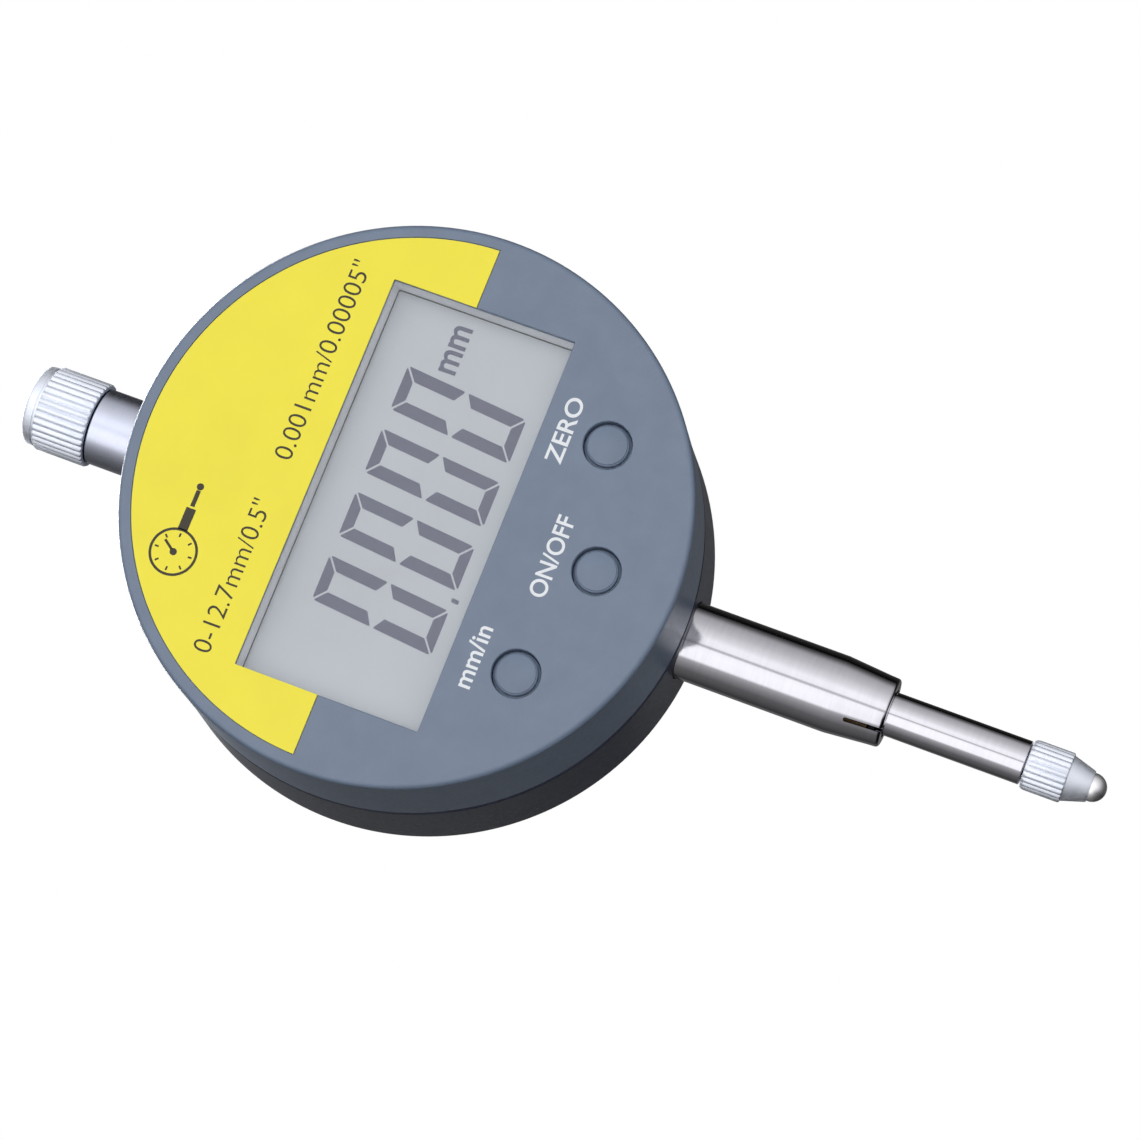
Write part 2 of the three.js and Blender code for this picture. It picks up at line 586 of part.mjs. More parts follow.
function neck() {
  const bearingTop = CASE_Z + 28;
  const spigotTop = NECK_TOP_Z + SPIGOT.length;
  return turned('Z', [
    [BEARING_R, NECK_FOOT_Z], [STEM_R, NECK_FOOT_Z], [STEM_R, NECK_TOP_Z],
    [SPIGOT.radius, NECK_TOP_Z], [SPIGOT.radius, spigotTop], [SPIGOT.bore, spigotTop],
    [SPIGOT.bore, bearingTop], [BEARING_R, bearingTop],
  ], ROD_SIDES);
}

// A hollow knurled cap with room inside for the spindle at the top of its travel.
function dustCap() {
  const rim = NECK_TOP_Z + 0.14;
  const knurled = { teeth: 36, outer: 4.45, root: 4.25, top: rim + 5.6 };
  const bodyR = 4.22;
  const body = turned('Z', [
    [0, rim], [bodyR, rim], [bodyR, CAP_TOP_Z - 0.9], [bodyR - 0.3, CAP_TOP_Z - 0.25],
    [bodyR - 0.75, CAP_TOP_Z], [0, CAP_TOP_Z],
  ], ROD_SIDES);
  const sealRoom = { radius: 3.95, top: rim + 0.95 };
  const threadRoom = { radius: SPIGOT.radius + GAP, top: rim + SPIGOT.length + 0.2 };
  const spindleRoom = { radius: 2.8, top: CAP_TOP_Z - 1.1 };
  const cavity = turned('Z', [
    [0, rim - 1], [sealRoom.radius, rim - 1], [sealRoom.radius, sealRoom.top],
    [threadRoom.radius, sealRoom.top], [threadRoom.radius, threadRoom.top],
    [spindleRoom.radius, threadRoom.top], [spindleRoom.radius, spindleRoom.top],
    [0, spindleRoom.top],
  ], ROD_SIDES);
  const { teeth, outer, root, top } = knurled;
  return joined([body, knurl(teeth, outer, root, [rim, top])]).subtract(cavity);
}

function addBarrel() {
  add('stem', stem(), MATERIALS.polishedSteel);
  const bushing = [BEARING_R, 3];
  add('lower_bush', tube('Z', bushing, [-12, -6], ROD_SIDES), MATERIALS.bronze);
  add('upper_bush', tube('Z', bushing, [9, 15], ROD_SIDES), MATERIALS.bronze);
  add('wiper_seal', tube('Z', bushing, [-12.8, -12.2], ROD_SIDES), MATERIALS.rubber);
  add('neck', neck(), MATERIALS.satinNickel);
  add('dust_cap', dustCap(), MATERIALS.satinNickel);
  const seal = { radii: [SPIGOT.radius + GAP, 3.85], depth: [NECK_TOP_Z + 0.15, NECK_TOP_Z + 0.95] };
  add('cap_seal', tube('Z', seal.radii, seal.depth, ROD_SIDES), MATERIALS.rubber);
}

// ---------------------------------------------------------------- spindle group

function spindle() {
  const threadHole = { radius: 1.25, depth: 4 };
  const top = CASE_Z + 29.5;
  const chamfer = 0.4;
  const holeTop = SPINDLE_BOTTOM_Z + threadHole.depth;
  return turned('Z', [
    [0, holeTop], [threadHole.radius, holeTop], [threadHole.radius, SPINDLE_BOTTOM_Z],
    [SPINDLE_R, SPINDLE_BOTTOM_Z], [SPINDLE_R, top - chamfer], [SPINDLE_R - chamfer, top],
    [0, top],
  ], ROD_SIDES);
}

const BALL = { radius: 1.45, z: TIP_Z + 1.45 };

// A stud for the spindle, a knurled grip and a cone that holds the ball.
function contactPoint() {
  const shoulder = SPINDLE_BOTTOM_Z - GAP;
  const stud = { radius: 1.15, top: SPINDLE_BOTTOM_Z + 3.6 };
  const grip = { teeth: 24, outer: 2.58, root: 2.42, end: -32.15 };
  const bodyR = 2.4;
  const mouth = { radius: 1.6, z: BALL.z + 0.15 };
  const pocket = { radius: BALL.radius + 0.03, top: BALL.z + BALL.radius + GAP };
  const body = turned('Z', [
    [0, stud.top], [stud.radius, stud.top], [stud.radius, shoulder], [bodyR, shoulder],
    [bodyR, grip.end], [mouth.radius, mouth.z], [pocket.radius, mouth.z],
    [pocket.radius, pocket.top], [0, pocket.top],
  ], ROD_SIDES);
  const stretch = [grip.end + GAP, shoulder - 2 * GAP];
  return joined([body, knurl(grip.teeth, grip.outer, grip.root, stretch)]);
}

function ball() {
  const rings = 8;
  const profile = Array.from({ length: rings + 1 }, (_, i) => {
    const angle = -Math.PI / 2 + (i * Math.PI) / rings;
    const onAxis = i === 0 || i === rings;
    return [onAxis ? 0 : BALL.radius * Math.cos(angle), BALL.z + BALL.radius * Math.sin(angle)];
  });
  return turned('Z', profile, ROD_SIDES);
}

// A block clamped on the spindle, with an arm for the return spring.
function slider() {
  const { left, right, front, back, low, high } = SLIDER;
  const block = box([left, right], [front, back], [low, high]);
  const armSize = { front: 1.1, height: 3, past: 1.5 };
  const arm = box([SPRING.x - armSize.past, left + 0.1], [armSize.front, back],
    [high - armSize.height, high]);
  const outside = right + 1;
  return cut(joined([block, arm]), [
    rod('Z', SPINDLE_R + THREAD_GAP, [low - 1, high + 1], ROD_SIDES),
    rod('X', GUIDE_PIN.holeRadius, [GUIDE_PIN.from - GAP, outside], SMALL_SIDES,
      [0, 0, GUIDE_PIN.z]),
    rod('X', CLAMP_SCREW.holeRadius, [SPINDLE_R - 0.25, outside], SMALL_SIDES,
      [0, 0, CLAMP_SCREW.z]),
    rod('Y', SPRING_PIN.holeRadius, [0, back + 1], SMALL_SIDES, HOOK_PIN_AT),
  ]);
}

// The coils of the return spring, from its lower to its upper end.
class Coil extends THREE.Curve {
  getPoint(t, target = new THREE.Vector3()) {
    const angle = 2 * Math.PI * SPRING.turns * t;
    return target.set(
      SPRING.x + SPRING.radius * Math.cos(angle),
      SPRING.radius * Math.sin(angle),
      SPRING.low + SPRING.wire / 2 + t * (SPRING.high - SPRING.low - SPRING.wire),
    );
  }
}

function returnSpring() {
  const half = SPRING.wire / 2;
  const section = new THREE.Shape([
    new THREE.Vector2(-half, -half), new THREE.Vector2(half, -half),
    new THREE.Vector2(half, half), new THREE.Vector2(-half, half),
  ]);
  const steps = 8 * SPRING.turns;
  return solid(new THREE.ExtrudeGeometry(section, { steps, extrudePath: new Coil() }));
}

function addSpindleGroup() {
  const { right, front, low, high } = SLIDER;
  add('spindle', spindle(), MATERIALS.polishedSteel);
  add('contact_point', contactPoint(), MATERIALS.satinNickel);
  add('contact_ball', ball(), MATERIALS.polishedSteel);
  add('slider', slider(), MATERIALS.brass);
  const clampAt = [0, 0, CLAMP_SCREW.z];
  add('slider_screw', joined([
    rod('X', CLAMP_SCREW.radius, [SPINDLE_R + 0.25, right + 0.3], SMALL_SIDES, clampAt),
    rod('X', CLAMP_SCREW.headRadius, [right + 0.1, right + 0.6], SMALL_SIDES, clampAt),
  ]), MATERIALS.steel);
  const scale = { left: -5, right: 5.2, thickness: 0.3, low: low + 0.7, high: high - 0.5 };
  const scaleBack = front - GAP;
  add('scale_strip', box([scale.left, scale.right], [scaleBack - scale.thickness, scaleBack],
    [scale.low, scale.high]), MATERIALS.circuitBoard);
  add('guide_pin', rod('X', GUIDE_PIN.radius, [GUIDE_PIN.from, GUIDE_PIN.to], SMALL_SIDES,
    [0, 0, GUIDE_PIN.z]), MATERIALS.steel);
  add('spring_hook_pin', rod('Y', SPRING_PIN.radius, [SPRING_PIN.front, SLIDER.back - 0.5],
    SMALL_SIDES, HOOK_PIN_AT), MATERIALS.steel);
  add('return_spring', returnSpring(), MATERIALS.steel);
}

// ---------------------------------------------------------------- chassis

// A back plate with two ears that the spindle passes, screwed to posts in the rear case.
function chassis() {
  const { left, right, front, thickness, clear } = EAR;
  const { front: plateFront, back: plateBack } = CHASSIS_PLATE;
  const depth = [plateFront, plateBack];
  const through = [plateFront - 1, plateBack + 1];
  const reach = clear + thickness;
  const spineX = [-10.2, 8.3];
  const endHalf = 13.2;
  const spine = box(spineX, depth, [CASE_Z - reach, CASE_Z + reach]);
  const ends = [-1, 1].flatMap((side) => {
    const span = [CASE_Z + side * reach, CASE_Z + side * clear].sort((a, b) => a - b);
    return [
      box([-endHalf, endHalf], depth, span),
      box([left, right], [front, plateFront + 0.2], span),
    ];
  });
  const tabs = CHASSIS_POSTS.map(({ x, z }) =>
    rod('Y', CHASSIS_SCREW.tabRadius, depth, SMALL_SIDES, [x, 0, z]));
  return cut(joined([spine, ...ends, ...tabs]), [
    rod('Z', SPINDLE_R + 0.35, [CASE_Z - reach - 1, CASE_Z + reach + 1], ROD_SIDES),
    rod('Y', SPRING_PIN.holeRadius, through, SMALL_SIDES, ANCHOR_PIN_AT),
    ...CHASSIS_SCREWS.map(({ x, z }) =>
      rod('Y', CHASSIS_SCREW.clearRadius, through, SMALL_SIDES, [x, 0, z])),
  ]);
}

// A channel whose slot holds the guide pin over the whole travel.
function guideRail() {
  const z = [CASE_Z - EAR.clear + 0.2, CASE_Z + EAR.clear - 0.2];
  const section = { left: 6.7, right: 9.2, front: -2.2, back: CHASSIS_PLATE.front - 0.05 };
  const rail = box([section.left, section.right], [section.front, section.back], z);
  const room = { half: 0.8, back: 8.6, end: 1.2 };
  const slot = box([section.left - 0.5, room.back], [-room.half, room.half],
    [GUIDE_PIN.z - room.end, GUIDE_PIN.z + TRAVEL + room.end]);
  return cut(rail, [slot]);
}

function addChassis() {
  add('chassis', chassis(), MATERIALS.steel);
  CHASSIS_SCREWS.forEach((place, i) =>
    add(`chassis_screw_${i + 1}`, shortScrew(CHASSIS_SCREW, CHASSIS_PLATE.back, place),
      MATERIALS.steel));
  add('guide_rail', guideRail(), MATERIALS.steel);
  add('spring_anchor_pin', rod('Y', SPRING_PIN.radius, [SPRING_PIN.front, CHASSIS_PLATE.back - GAP],
    SMALL_SIDES, ANCHOR_PIN_AT), MATERIALS.steel);
}

addShells();
addDisplay();
addButtons();
addBoards();
addBattery();
addBarrel();
addSpindleGroup();
addChassis();

export default indicator;
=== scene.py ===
"""Looks of the digital dial indicator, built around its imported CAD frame.

Lengths are millimetres in the frame's axes (+Z up the spindle, display towards -Y) until a mesh is made.
"""

import json
import math

import bmesh
import bpy
from mathutils import Matrix, Vector


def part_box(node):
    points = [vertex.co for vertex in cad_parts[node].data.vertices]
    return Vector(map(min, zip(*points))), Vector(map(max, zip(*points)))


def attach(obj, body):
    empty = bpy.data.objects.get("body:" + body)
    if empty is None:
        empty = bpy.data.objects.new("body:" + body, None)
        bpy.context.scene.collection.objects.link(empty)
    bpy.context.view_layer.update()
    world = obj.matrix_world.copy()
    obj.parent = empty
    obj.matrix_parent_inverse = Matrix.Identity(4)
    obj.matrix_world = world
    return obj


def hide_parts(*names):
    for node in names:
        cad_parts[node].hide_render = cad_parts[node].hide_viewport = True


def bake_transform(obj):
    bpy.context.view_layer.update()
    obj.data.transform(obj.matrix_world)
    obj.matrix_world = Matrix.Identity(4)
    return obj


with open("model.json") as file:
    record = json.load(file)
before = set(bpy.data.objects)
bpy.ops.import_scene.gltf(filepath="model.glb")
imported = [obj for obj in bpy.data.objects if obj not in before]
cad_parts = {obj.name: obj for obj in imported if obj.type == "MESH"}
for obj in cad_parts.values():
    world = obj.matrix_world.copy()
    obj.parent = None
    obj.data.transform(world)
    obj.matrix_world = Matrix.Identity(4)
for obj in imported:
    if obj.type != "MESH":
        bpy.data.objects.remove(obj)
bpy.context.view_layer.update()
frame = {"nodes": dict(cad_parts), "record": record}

MM = 0.001
FINE_ANGLE = math.radians(32)       # edges sharper than this stay crisp


# -------------------------------- sizes read from the frame

def span(node):
    """The lowest and highest corner of a CAD node, in millimetres."""
    low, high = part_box(node)
    return low / MM, high / MM


def middle(node):
    low, high = span(node)
    return (low + high) / 2


FRONT = span("front_cover")
REAR = span("rear_case")
BACK = span("back_cover")
LABEL = span("face_label")
LENS = span("lcd_window")
PANEL = span("lcd_panel")
BEZEL = span("lcd_bezel")
STEM = span("stem")
NECK = span("neck")
SPINDLE = span("spindle")
TIP = span("contact_point")
BALL = span("contact_ball")
CAP = span("dust_cap")
BATTERY_CAP = span("battery_cap")
SPRING = span("return_spring")

CASE = Vector((0, 0, middle("front_cover").z))
FACE_Y = FRONT[0].y
PARTING_R = FRONT[1].x
MOULD_DRAFT = 0.15                  # how much narrower the front shell is at its face
FRONT_R = PARTING_R - MOULD_DRAFT
REAR_R = REAR[1].x
STEM_R = STEM[1].x
SPINDLE_R = SPINDLE[1].x
LENS_INSET = 0.06
WINDOW_HALF = LENS[1].x + LENS_INSET
WINDOW_X = (-WINDOW_HALF, WINDOW_HALF)
WINDOW_Z = (LENS[0].z - LENS_INSET, LENS[1].z + LENS_INSET)
LABEL_R = LABEL[1].x
LABEL_LOW = LABEL[0].z
BUTTONS = ("zero_button", "on_off_button", "unit_button")
BUTTON_HOLE_R = 2.4
BORE_R = 25.2


# -------------------------------- mesh tools

def steps_of(low, high, count):
    return [low + (high - low) * i / count for i in range(count + 1)]


QUARTER = steps_of(0, math.pi / 2, 4)       # angles of a small rounded edge


def grown(span_ends, by):
    """A (low, high) pair, wider by the given amount at both ends."""
    return (span_ends[0] - by, span_ends[1] + by)


def finish_mesh(mesh_data):
    """Merges doubles, points the faces outward, and marks the crisp edges."""
    work = bmesh.new()
    work.from_mesh(mesh_data)
    bmesh.ops.remove_doubles(work, verts=work.verts, dist=1e-7)
    bmesh.ops.dissolve_degenerate(work, dist=1e-8, edges=work.edges)
    bmesh.ops.recalc_face_normals(work, faces=work.faces)
    for face in work.faces:
        face.smooth = True
    for edge in work.edges:
        edge.smooth = edge.calc_face_angle(math.pi) < FINE_ANGLE
    work.to_mesh(mesh_data)
    work.free()


def new_object(name, data):
    piece = bpy.data.objects.new(name, data)
    bpy.context.scene.collection.objects.link(piece)
    return piece


def make(name, points, faces):
    """A mesh object from points in millimetres."""
    mesh_data = bpy.data.meshes.new(name)
    mesh_data.from_pydata([Vector(p) * MM for p in points], [], faces)
    finish_mesh(mesh_data)
    return new_object(name, mesh_data)


def weighted(piece):
    """Keeps flat faces flat where they meet rounded edges."""
    shade = piece.modifiers.new("weighted", "WEIGHTED_NORMAL")
    shade.keep_sharp = True
    shade.weight = 100
    return piece


def fillet(outline, closed=False, steps=5):
    """Rounds an outline's corners. A corner is (x, y), or (x, y, radius) to be rounded."""
    rounded = []
    count = len(outline)
    for i, corner in enumerate(outline):
        here = Vector(corner[:2])
        radius = corner[2] if len(corner) > 2 else 0
        if not radius or (not closed and i in (0, count - 1)):
            rounded.append(tuple(here))
            continue
        back = (Vector(outline[i - 1][:2]) - here).normalized()
        ahead = (Vector(outline[(i + 1) % count][:2]) - here).normalized()
        half = back.angle(ahead) / 2
        centre = here + (back + ahead).normalized() * (radius / math.sin(half))
        start = here + back * (radius / math.tan(half)) - centre
        sweep = start.angle_signed(here + ahead * (radius / math.tan(half)) - centre)
        for step in range(steps + 1):
            turn = Matrix.Rotation(-sweep * step / steps, 2)
            rounded.append(tuple(centre + turn @ start))
    return rounded


AIM = {
    "X": lambda across, up, along: (along, across, up),
    "Y": lambda across, up, along: (across, along, up),
    "Z": lambda across, up, along: (across, up, along),
}


def revolve(name, axis, profile, centre=(0, 0, 0), sides=144, ribs=0):
    """A solid of revolution. The profile holds (radius, height), or (radius, height, groove) where
    grooves of that depth run between the given number of ribs. It starts and ends on the axis, or
    else it is closed on itself."""
    open_ended = profile[0][0] == 0 and profile[-1][0] == 0
    points, rings = [], []
    for corner in profile:
        radius, height = corner[:2]
        groove = corner[2] if len(corner) > 2 else 0
        if radius == 0:
            rings.append([len(points)])
            points.append(AIM[axis](0, 0, height))
            continue
        rings.append(list(range(len(points), len(points) + sides)))
        for i in range(sides):
            angle = 2 * math.pi * i / sides
            reach = radius - groove * (1 - abs(math.sin(ribs * angle / 2)))
            points.append(AIM[axis](reach * math.cos(angle), reach * math.sin(angle), height))
    faces = []
    pairs = list(zip(rings, rings[1:])) + ([] if open_ended else [(rings[-1], rings[0])])
    for one, two in pairs:
        for i in range(sides):
            j = (i + 1) % sides
            face = [one[i % len(one)], one[j % len(one)], two[j % len(two)], two[i % len(two)]]
            face = [v for k, v in enumerate(face) if v not in face[:k]]
            if len(face) > 2:
                faces.append(face)
    centre = Vector(centre)
    return make(name, [Vector(p) + centre for p in points], faces)


def loft(name, sections):
    """A closed solid through outlines of equal length, each a list of (x, y, z) points."""
    count = len(sections[0])
    points = [p for section in sections for p in section]
    faces = [list(range(count)), list(range(len(points) - count, len(points)))]
    for level in range(len(sections) - 1):
        for i in range(count):
            j = (i + 1) % count
            low, high = level * count, (level + 1) * count
            faces.append([low + i, low + j, high + j, high + i])
    return make(name, points, faces)


def outline_box(x, z, radius=0, grow=0):
    """A rectangle in X and Z with rounded corners, grown outwards by the given amount."""
    (x0, x1), (z0, z1) = grown(x, grow), grown(z, grow)
    corners = [(x0, z0), (x1, z0), (x1, z1), (x0, z1)]
    return fillet([(*corner, max(radius + grow, 0.01)) for corner in corners], closed=True)


def block(name, x, y, z, radius=0.0, edge=0.0, mouth=0.0):
    """A rectangular prism along Y. Its corners have a radius, its end edges are rounded by edge,
    and a mouth makes its front end flare, to break the edge of a hole that it cuts."""
    (y0, y1) = y
    rows = [(0, y0), (0, y1)]
    if edge:
        rows = [(edge * (math.sin(a) - 1), y0 + edge * (1 - math.cos(a))) for a in QUARTER]
        rows += [(edge * (math.cos(a) - 1), y1 - edge * (1 - math.sin(a))) for a in QUARTER]
    if mouth:
        flare = [(mouth * (1 - math.sin(a)), FACE_Y + mouth * (1 - math.cos(a))) for a in QUARTER]
        rows = [(mouth, y0), *flare, (0, y1)]
    return loft(name, [[(px, py, pz) for px, pz in outline_box(x, z, radius, grow)] for grow, py in rows])


def carve(piece, tools, operation="DIFFERENCE"):
    """Cuts or joins closed solids into a piece, and removes the tools."""
    for tool in tools:
        change = piece.modifiers.new("carve", "BOOLEAN")
        change.operation = operation
        change.solver = "EXACT"
        change.object = tool
    evaluated = piece.evaluated_get(bpy.context.evaluated_depsgraph_get())
    carved = bpy.data.meshes.new_from_object(evaluated)
    piece.modifiers.clear()
    piece.data = carved
    for tool in tools:
        bpy.data.objects.remove(tool)
    finish_mesh(carved)
    return piece


UPRIGHT = Matrix.Rotation(math.pi / 2, 4, "X")      # stands a flat drawing up, facing -Y
CAPITAL_HEIGHT = 0.729                              # of the built-in typeface at size 1


def to_mesh(curve_object, name):
    """A curve or text object's shape as a closed mesh object of its own."""
    evaluated = curve_object.evaluated_get(bpy.context.evaluated_depsgraph_get())
    mesh_data = bpy.data.meshes.new_from_object(evaluated)
    mesh_data.transform(curve_object.matrix_world)
    mesh_data.name = name
    bpy.data.objects.remove(curve_object)
    finish_mesh(mesh_data)
    return new_object(name, mesh_data)


def prisms(name, outlines, y):
    """Plates between two depths, one for each outline of (x, z) points, in one piece."""
    points, faces = [], []
    for outline in outlines:
        first, count = len(points), len(outline)
        points += [(u, depth, v) for depth in y for u, v in outline]
        faces += [list(range(first, first + count)), list(range(first + count, first + 2 * count))]
        for i in range(count):
            j = (i + 1) % count
            faces.append([first + i, first + j, first + count + j, first + count + i])
    return make(name, points, faces)


def flat_shapes(name, outlines, y):
    """A plate between two depths, from outlines of (x, z) points. An inner outline is a hole."""
    curve = bpy.data.curves.new(name, "CURVE")
    curve.dimensions = "2D"
    curve.fill_mode = "BOTH"
    curve.extrude = (y[1] - y[0]) / 2 * MM
    for outline in outlines:
        spline = curve.splines.new("POLY")
        spline.points.add(len(outline) - 1)
        for point, (x, z) in zip(spline.points, outline):
            point.co = (x * MM, z * MM, 0, 1)
        spline.use_cyclic_u = True
    shape = new_object(name, curve)
    shape.matrix_world = Matrix.Translation((0, (y[0] + y[1]) / 2 * MM, 0)) @ UPRIGHT
    bpy.context.view_layer.update()
    return to_mesh(shape, name)


def lettering(name, text, height, left, baseline, y, width, weight=0.0):
    """Printed characters on the face, as thin closed shapes. The height is a capital letter's, and
    the width is that of the whole line."""
    curve = bpy.data.curves.new(name, "FONT")
    curve.body = text
    curve.size = 1
    curve.resolution_u = 6
    line = new_object(name, curve)
    bpy.context.view_layer.update()
    rise = height / CAPITAL_HEIGHT
    stretch = width / (line.dimensions.x * rise)
    curve.offset = weight / rise
    curve.extrude = (y[1] - y[0]) / 2 / rise
    line.matrix_world = (
        Matrix.Translation(Vector((left, (y[0] + y[1]) / 2, baseline)) * MM)
        @ UPRIGHT
        @ Matrix.Diagonal((rise * stretch * MM, rise * MM, rise * MM, 1))
        @ Matrix.Translation((-line.bound_box[0][0], 0, 0))
    )
    bpy.context.view_layer.update()
    return to_mesh(line, name)


def place(piece, body, slot, *nodes, finish=None):
    """Gives a piece its body, its material slot, the slot's finish or one of its own, and the CAD
    nodes that it stands for."""
    piece.data.materials.clear()
    piece.data.materials.append(LOOK[finish or slot])
    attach(piece, body)
    if nodes:
        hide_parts(*nodes)


# -------------------------------- finishes

NOISE_MIDDLE = (0.3, 0.7)       # where most of a noise's values lie


def map_range(tree, value, source, target=(0, 1)):
    """Takes a value from one range to another, and holds it at the ends."""
    spread = tree.nodes.new("ShaderNodeMapRange")
    for socket, level in zip(("From Min", "From Max", "To Min", "To Max"), (*source, *target)):
        spread.inputs[socket].default_value = level
    tree.links.new(value, spread.inputs["Value"])
    return spread.outputs["Result"]


class Finish:
    """A Principled material with procedural variation added step by step."""

    def __init__(self, name, colour, roughness, metallic=0.0, **sockets):
        self.material = bpy.data.materials.new(name)
        self.material.use_nodes = True
        self.tree = self.material.node_tree
        self.nodes, self.links = self.tree.nodes, self.tree.links
        self.shader = self.nodes["Principled BSDF"]
        self.colour = colour
        self.roughness = roughness
        sockets |= {"Base Color": (*colour, 1), "Roughness": roughness, "Metallic": metallic}
        for socket, value in sockets.items():
            self.shader.inputs[socket.replace("_", " ")].default_value = value
        self.place = self.nodes.new("ShaderNodeTexCoord").outputs["Object"]

    def noise(self, per_mm, stretch=(1, 1, 1), detail=3.0):
        """Noise with about the given number of features in a millimetre."""
        mapping = self.nodes.new("ShaderNodeMapping")
        mapping.inputs["Scale"].default_value = stretch
        texture = self.nodes.new("ShaderNodeTexNoise")
        texture.inputs["Scale"].default_value = per_mm / MM
        texture.inputs["Detail"].default_value = detail
        self.links.new(self.place, mapping.inputs["Vector"])
        self.links.new(mapping.outputs["Vector"], texture.inputs["Vector"])
        return texture.outputs["Fac"]

    def ramp(self, source, low, high):
        """Maps a noise's middle range to the range from low to high."""
        return map_range(self.tree, source, NOISE_MIDDLE, (low, high))

    def mottle(self, per_mm, amount, stretch=(1, 1, 1)):
        """Lightens and darkens the colour a little from place to place."""
        blend = self.nodes.new("ShaderNodeMix")
        blend.data_type = "RGBA"
        dark = [c * (1 - amount) for c in self.colour]
        light = [min(1, c * (1 + amount)) for c in self.colour]
        blend.inputs["A"].default_value = (*dark, 1)
        blend.inputs["B"].default_value = (*light, 1)
        self.links.new(self.ramp(self.noise(per_mm, stretch), 0, 1), blend.inputs["Factor"])
        self.links.new(blend.outputs["Result"], self.shader.inputs["Base Color"])
        return self

    def uneven(self, per_mm, amount, stretch=(1, 1, 1)):
        """Varies the roughness."""
        low, high = self.roughness - amount, self.roughness + amount
        self.links.new(self.ramp(self.noise(per_mm, stretch), low, high), self.shader.inputs["Roughness"])
        return self

    def relief(self, per_mm, depth, stretch=(1, 1, 1), detail=2.0):
        """Raises and lowers the surface by about the given depth in millimetres."""
        bump = self.nodes.new("ShaderNodeBump")
        bump.inputs["Distance"].default_value = depth * MM
        self.links.new(self.noise(per_mm, stretch, detail), bump.inputs["Height"])
        before = self.shader.inputs["Normal"].links
        if before:
            self.links.new(before[0].from_socket, bump.inputs["Normal"])
        self.links.new(bump.outputs["Normal"], self.shader.inputs["Normal"])
        return self


def srgb(*levels):
    """A colour from 0-255 display values, as the shader's linear values."""
    shares = [level / 255 for level in levels]
    return tuple(c / 12.92 if c <= 0.04045 else ((c + 0.055) / 1.055) ** 2.4 for c in shares)


def finishes():
    """Every finish, by the name of its material slot, and those of single pieces, by their own name."""
    made = {
        "slate_shell": Finish("slate_plastic", srgb(115, 130, 152), 0.36)
        .mottle(0.35, 0.05).uneven(2.0, 0.05).relief(6.0, 0.022),
        "dark_shell": Finish("dark_plastic", srgb(58, 62, 78), 0.32)
        .mottle(0.3, 0.1).uneven(2.0, 0.05).relief(6.0, 0.01),
        "yellow_film": Finish("yellow_film", srgb(252, 238, 58), 0.42)
        .mottle(0.2, 0.02).uneven(1.0, 0.04).relief(3.0, 0.003),
        "grey_plastic": Finish("grey_plastic", srgb(244, 246, 250), 0.3)
        .mottle(0.5, 0.03).relief(4.0, 0.004),
        "liquid_crystal": Finish("display_glass", srgb(193, 198, 206), 0.35)
        .mottle(0.08, 0.035).uneven(0.5, 0.05),
        "foil": Finish("foil", srgb(214, 214, 214), 0.3, 1.0)
        .mottle(0.5, 0.05).relief(3.0, 0.004, (1, 1, 12)),
        "polished_steel": Finish("polished_steel", srgb(192, 191, 198), 0.09, 1.0)
        .mottle(0.4, 0.03, (1, 1, 6)).uneven(1.2, 0.02, (1, 1, 14)).relief(2.0, 0.0006, (1, 1, 18)),
        "neck_nickel": Finish("neck_nickel", srgb(198, 202, 218), 0.32, 1.0)
        .mottle(0.5, 0.03).uneven(2.0, 0.05, (1, 1, 6)).relief(4.0, 0.003, (1, 1, 6)),
        "grip_nickel": Finish("grip_nickel", srgb(232, 236, 246), 0.58, 1.0)
        .mottle(0.5, 0.03).uneven(2.0, 0.06).relief(6.0, 0.004),
        "ball_steel": Finish("ball_steel", srgb(238, 237, 240), 0.45, 1.0)
        .mottle(0.5, 0.03).uneven(1.2, 0.03),
        "steel": Finish("machined_steel", srgb(158, 160, 166), 0.38, 1.0)
        .mottle(0.5, 0.06).uneven(1.5, 0.06).relief(3.0, 0.003, (1, 8, 1)),
        # The bronze is darker than the metal's own colour so that the bush shows dark through the stem's nose
        # slots: its own colour with painted shade added.
        "bronze": Finish("bronze", srgb(104, 86, 62), 0.55, 1.0).mottle(0.8, 0.12).relief(5.0, 0.006),
        "brass": Finish("brass", srgb(202, 166, 84), 0.32, 1.0).mottle(0.5, 0.06).relief(4.0, 0.003),
        "rubber": Finish("rubber", srgb(26, 27, 30), 0.85).mottle(0.8, 0.15).relief(6.0, 0.006),
        "circuit_board": Finish("circuit_board", srgb(44, 104, 66), 0.4)
        .mottle(0.8, 0.12).relief(2.0, 0.01),
        "black_plastic": Finish("black_plastic", srgb(30, 32, 36), 0.5).mottle(0.6, 0.1).relief(6.0, 0.008),
        "white_ink": Finish("white_ink", srgb(240, 243, 248), 0.5).mottle(1.0, 0.03),
        "dark_ink": Finish("dark_ink", srgb(50, 44, 26), 0.5).mottle(1.0, 0.1),
        "display_segment": Finish("display_segment", srgb(78, 78, 108), 0.5).mottle(0.3, 0.06),
        "clear_lens": Finish("clear_lens", srgb(238, 242, 244), 0.08, Alpha=0.08, IOR=1.3).uneven(0.3, 0.02),
    }
    return {slot: one.material for slot, one in made.items()}


LOOK = finishes()


# -------------------------------- case

